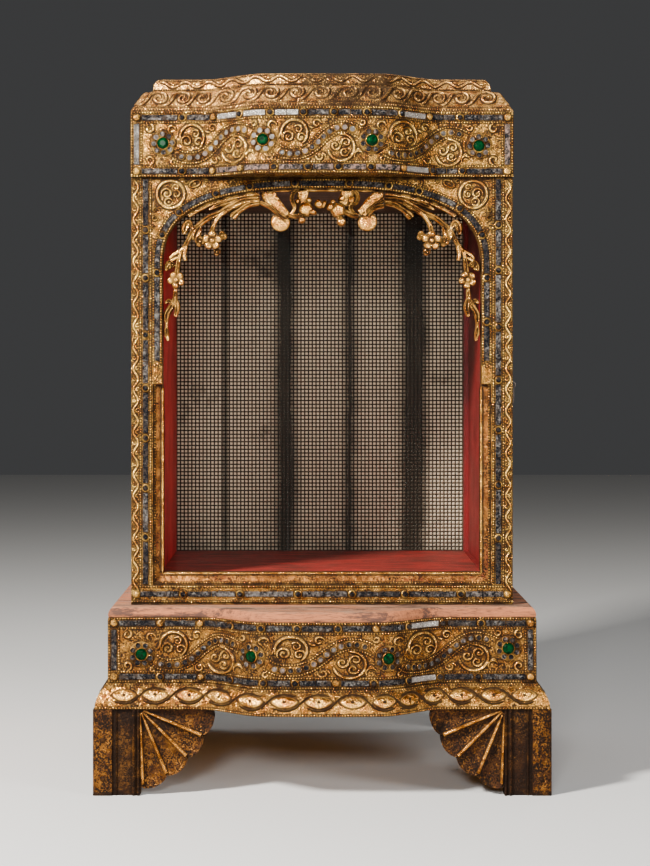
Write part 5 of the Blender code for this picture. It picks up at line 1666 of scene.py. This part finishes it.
def fan_edge(angle):
    """Reach of the bracket from its apex, level at angle 0 and straight down at a quarter turn."""
    across, down = np.cos(angle) / fan_reach, np.sin(angle) / (foot_height - fan_lift)
    reach = (np.abs(across) ** 1.6 + np.abs(down) ** 1.6) ** (-1 / 1.6)
    return reach - fan_notch * (1 - np.sqrt(np.abs(np.sin(8 * angle))))


foot_front, foot_back = moulding_front_y, moulding_front_y + foot_board
post_profile = (
    # distance in from the outer side, depth behind the front
    (0.0, 0.0012), (0.0012, 0.0), (0.0205, 0.0), (0.0218, 0.0022), (0.0245, 0.0022), (0.0255, 0.0006),
    (0.0268, 0.0026), (0.0420, 0.0026), (0.0428, 0.0010), (0.0446, -0.0009), (0.0466, 0.0008),
    (0.0474, 0.0020), (0.0484, 0.0002), (0.0498, -0.0009), (0.0510, 0.0010),
)
# Painted shade and dirt in the grooves and sunk panel of the post, one value for each point of the profile
# and the two back corners
post_shade_and_grime = (0.5, 0.0, 0.0, 1.0, 1.0, 0.2, 0.8, 0.6, 0.5, 0.0, 0.5, 1.0, 0.2, 0.0, 0.8, 0.5, 0.5)
fan_rings = ((0.0, 1.0), (0.10, 1.0), (0.3, 1.0), (0.55, 1.0), (0.8, 1.0), (0.94, 0.9), (1.0, 0.4))
ridge_width = 0.0042


def inward(side, u):
    """X at a distance in from the outer side of a front foot."""
    return side * (moulding_half - u)


def foot_post_part(shape, side):
    """The post, with its beads and sunk panel."""
    rows = []
    for z in np.linspace(0.0, foot_height, 6):
        row = [(inward(side, u), foot_front + depth, z) for u, depth in post_profile]
        rows.append(row + [(inward(side, u), foot_back, z) for u in (foot_post, 0.0)])
    rows = np.array(rows)[::-side]
    shape.grid(rows, closed_rows=True, ends=True, grime=np.tile(post_shade_and_grime, (len(rows), 1)))


def foot_fan_part(shape, side):
    """The fluted fan beside the post."""
    angles = np.linspace(0.0, math.pi / 2, 129)
    edge = fan_edge(np.clip(angles, 1e-4, math.pi / 2 - 1e-4))
    flute = np.abs(np.sin(8 * angles)) ** 0.55
    layers, fan_shade_and_grime = [], []
    for share, ease in fan_rings:
        x = inward(side, foot_post + edge * share * np.cos(angles))
        z = foot_height - edge * share * np.sin(angles)
        depth = 0.0014 + 0.0050 * flute * min(share * 2.2, 1.0) * ease
        layers.append(np.stack((x, foot_front + depth, z), -1))
        # Painted shade and dirt deep in the flutes, darkest near the apex
        fan_shade_and_grime.append(0.62 * flute ** 2 * (1.0 - 0.75 * share))
    rear = layers[-1].copy()
    rear[:, 1] = foot_back
    layers.append(rear)
    fan_shade_and_grime.append(np.full(len(angles), 0.5))
    shape.grid(np.array(layers)[:, ::side], grime=np.array(fan_shade_and_grime)[:, ::side])
    apex = np.array((inward(side, foot_post), foot_back, foot_height))
    shape.add(np.vstack((apex, rear)), [(0, i + 1, i + 2) for i in range(len(rear) - 1)], grime=0.5)


def foot_ridges(side):
    """The rounded ridges between the flutes of the fan."""
    ridges = Shape(ridge_gilding, 60.0)
    across = np.array((-0.5, -0.42, -0.22, 0.0, 0.22, 0.42, 0.5)) * ridge_width
    lifts = np.array((-0.2, 0.04, 0.30, 0.38, 0.30, 0.04, -0.2)) * ridge_width
    # Painted shade and dirt at the feet of each ridge
    grime = (1.0, 0.7, 0.0, 0.0, 0.0, 0.7, 1.0)
    for k in range(1, 5):
        end = float(fan_edge(np.array(k * math.pi / 8 - 1e-4))) - 0.0012
        angle = k * math.pi / 8 - (0.035 if k == 4 else 0.0)
        reach = np.linspace(0.004, end, 14)
        x = inward(side, foot_post + reach * math.cos(angle))
        path = np.stack((x, foot_height - reach * math.sin(angle)), -1)
        roll = 0.0016 + 0.0026 * np.sqrt(reach / reach[-1])
        face = flat_face(foot_front + 0.0016)
        sweep(ridges, face, path, across, lifts, scale=roll / ridge_width, grime=grime)
    return ridges


def build_front_foot(side, label):
    """A post and a fluted fan, all in one board, with two low studs on the post."""
    shape = Shape(foot_gilding, 50.0)
    foot_post_part(shape, side)
    foot_fan_part(shape, side)
    knob = ((0.0030, -0.0002), (0.0024, 0.0006), (0.0, 0.0009))
    for u, z in ((0.0105, 0.0600), (0.0110, 0.0180)):
        turned(shape, flat_face(foot_front), [(inward(side, u), z)], knob, 12, grime=(1.0, 0.9, 0.8))
    pieces = [shape, foot_ridges(side)]
    make(f"front_foot_{label}", pieces, replaces=(f"foot_front_{label}_face",))


def ring_mesh(shape, centre, axis, major, minor):
    """A round wire ring about an axis."""
    axis = np.array(axis, float)
    first = unit(np.cross(axis, (0.3, 0.9, 0.31)))
    second = np.cross(axis, first)
    a, b = turns_of(40), turns_of(12)
    spoke = first * np.cos(a)[:, None] + second * np.sin(a)[:, None]
    across = spoke[:, None] * (major + minor * np.cos(b))[None, :, None]
    along = axis * (minor * np.sin(b))[None, :, None]
    shape.grid(np.array(centre) + across + along, closed_rows=True, closed_columns=True)


def build_ring_pull():
    """The iron ring, and the screw eye that it hangs in."""
    low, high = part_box("pull_ring")
    shape = Shape(iron, 80.0)
    ring_mesh(shape, (low + high) / 2, (1, 0, 0), 0.0105, 0.0011)
    make("pull_ring_wire", [shape], body="ring", replaces=("pull_ring",))
    low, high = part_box("pull_eye")
    shape = Shape(iron, 60.0)
    middle = (low + high) / 2
    eye_radius, wire_radius = 0.0032, 0.0009
    eye_x = high.x - eye_radius - wire_radius
    ring_mesh(shape, (eye_x, middle.y, middle.z), (0, 1, 0), eye_radius, wire_radius)
    rows = []
    for x, radius in (
        (low.x, 0.0024), (low.x + 0.0008, 0.0024), (low.x + 0.0012, 0.0012), (eye_x - 0.0034, 0.0011)
    ):
        rows.append(np.insert(around((middle.y, middle.z), radius, turns_of(14)), 0, x, axis=1))
    shape.grid(np.array(rows)[:, ::-1], closed_rows=True, ends=True)
    make("pull_eye_screw", [shape], body="door", replaces=("pull_eye",))


# Which way each curl of a side border turns, from the front
border_turns = (1, -1, -1, -1, 1, -1, 1, -1, 1, -1)


def side_border(name, side, label, half, low, high, near, far):
    """Beaded lines and a running wave with curls on one plain side of the frieze or plinth."""
    relief = Shape(gilding, ornament_crease)
    face = side_face(side * half, side)
    for inset in (0.0035, 0.0125):
        a, b, c, d = near + inset, far - inset, low + inset, high - inset
        bottom, top = level_line(a, b, c, 60), level_line(b, a, d, 60)
        front, back = upright_line(b, c, d, 14), upright_line(a, d, c, 14)
        beaded(relief, face, np.vstack((bottom, front[1:], top[1:], back[1:-1])), closed=True)
    pitch, middle = 0.058, (low + high) / 2
    wave = wave_line(0.02, far - near - 0.02, 300, middle, (high - low) * 0.15, pitch)
    thread(relief, face, wave + (near, 0.0), 0.0026, 0.0014)
    for k, way in enumerate(border_turns[:int((far - near - 0.03) / (pitch / 2))]):
        spot = (near + (k + 1) * pitch / 2, middle - way * 0.006)
        thread(relief, face, curl(spot, 0.0078, 0.5, way * 1.4, 0.15))
    make(f"{name}_{label}_border", [relief])


def side_borders():
    """The borders of both sides of the frieze and of the plinth."""
    for name, half, low, high, (start, end) in (
        ("frieze", frame_half, frieze_low, frieze_high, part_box("frieze_left")),
        ("plinth", plinth_half, plinth_low, plinth_high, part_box("plinth_left")),
    ):
        for side, label in ((-1, "left"), (1, "right")):
            side_border(name, side, label, half, low, high, start.y, end.y)


def finish_cad_nodes():
    """Materials of the frame pieces that show as they are. The first start that fits a name counts."""
    looks = {
        "case_left_side": wall_red, "right_": wall_red, "side_door": wall_red, "case_floor": floor_red,
        "case_ceiling": dark_wood, "back_board": boards,
        "frieze_back": dark_wood, "plinth_back": dark_wood,
        "frieze_": gilding, "plinth_": gilding, "slip_": slip_gilding, "foot_": foot_gilding,
        "front_glass": clear_pane, "door_hinge": iron,
    }
    for name, node in nodes.items():
        if node.hide_render:
            continue
        for start, look in looks.items():
            if name.startswith(start):
                node.data.materials.clear()
                node.data.materials.append(look)
                break


build_carved_front(
    "frieze", gilding, 11, frame_half, frieze_front_y, 0.024, frieze_low, frieze_high, frieze_spec
)
build_carved_front(
    "plinth", plinth_gilding, 23, plinth_half, plinth_front_y, 0.030, plinth_low, plinth_high, plinth_spec
)
build_plinth_top()
build_foot_moulding()
build_lower_cap()
build_upper_cap()
build_front_frame()
for side, label in ((-1, "left"), (1, "right")):
    build_side_tracery(side, label)
    build_front_foot(side, label)
build_centre_tracery()
build_back_glass()
build_ring_pull()
side_borders()
finish_cad_nodes()


# Stage, light and camera


def area_light(name, place, aim, size, power, colour=(1.0, 1.0, 1.0)):
    """A lamp of a given width and height that shines from a place to its aim."""
    data = bpy.data.lights.new(name, "AREA")
    data.shape = "RECTANGLE"
    data.size, data.size_y = size
    data.energy = power
    data.color = colour
    light = bpy.data.objects.new(name, data)
    light.location = place
    light.rotation_euler = (Vector(aim) - Vector(place)).to_track_quat("-Z", "Y").to_euler()
    bpy.context.scene.collection.objects.link(light)


def build_stage():
    """The plain floor that the shrine stands on, and a weak even light from all round."""
    mesh = bpy.data.meshes.new("studio_floor")
    mesh.from_pydata([(-6, -6, 0), (6, -6, 0), (6, 6, 0), (-6, 6, 0)], [], [(0, 1, 2, 3)])
    floor = bpy.data.objects.new("studio_floor", mesh)
    bpy.context.scene.collection.objects.link(floor)
    plain = bpy.data.materials.new("studio_floor")
    plain.use_nodes = True
    plain.node_tree.nodes["Principled BSDF"].inputs["Base Color"].default_value = (0.66, 0.65, 0.63, 1.0)
    plain.node_tree.nodes["Principled BSDF"].inputs["Roughness"].default_value = 0.8
    mesh.materials.append(plain)
    world = bpy.data.worlds.new("studio")
    world.use_nodes = True
    world.node_tree.nodes["Background"].inputs["Color"].default_value = (0.82, 0.83, 0.85, 1.0)
    world.node_tree.nodes["Background"].inputs["Strength"].default_value = 0.06
    bpy.context.scene.world = world


build_stage()
area_light("key_light", (-1.15, -1.20, 1.50), (0.0, 0.0, 0.48), (0.24, 0.24), 128.0, (1.0, 0.97, 0.92))
area_light("front_light", (-0.30, -3.0, 1.20), (0.0, 0.0, 0.42), (0.5, 0.4), 58.0)
area_light("fill_light", (1.7, -1.5, 0.9), (0.0, 0.0, 0.40), (0.7, 0.7), 36.0)
area_light("top_light", (0.0, 0.5, 2.2), (0.0, 0.0, 0.40), (1.2, 0.9), 12.0)

camera_data = bpy.data.cameras.new("camera")
camera_data.lens = 77.1
camera_data.shift_x = 0.022
camera_data.shift_y = -0.0727
camera = bpy.data.objects.new("camera", camera_data)
camera.location = (-0.0177, case_front - 2.05, 0.462)
camera.rotation_euler = (math.pi / 2, 0.0, 0.0)
bpy.context.scene.collection.objects.link(camera)
bpy.context.scene.camera = camera
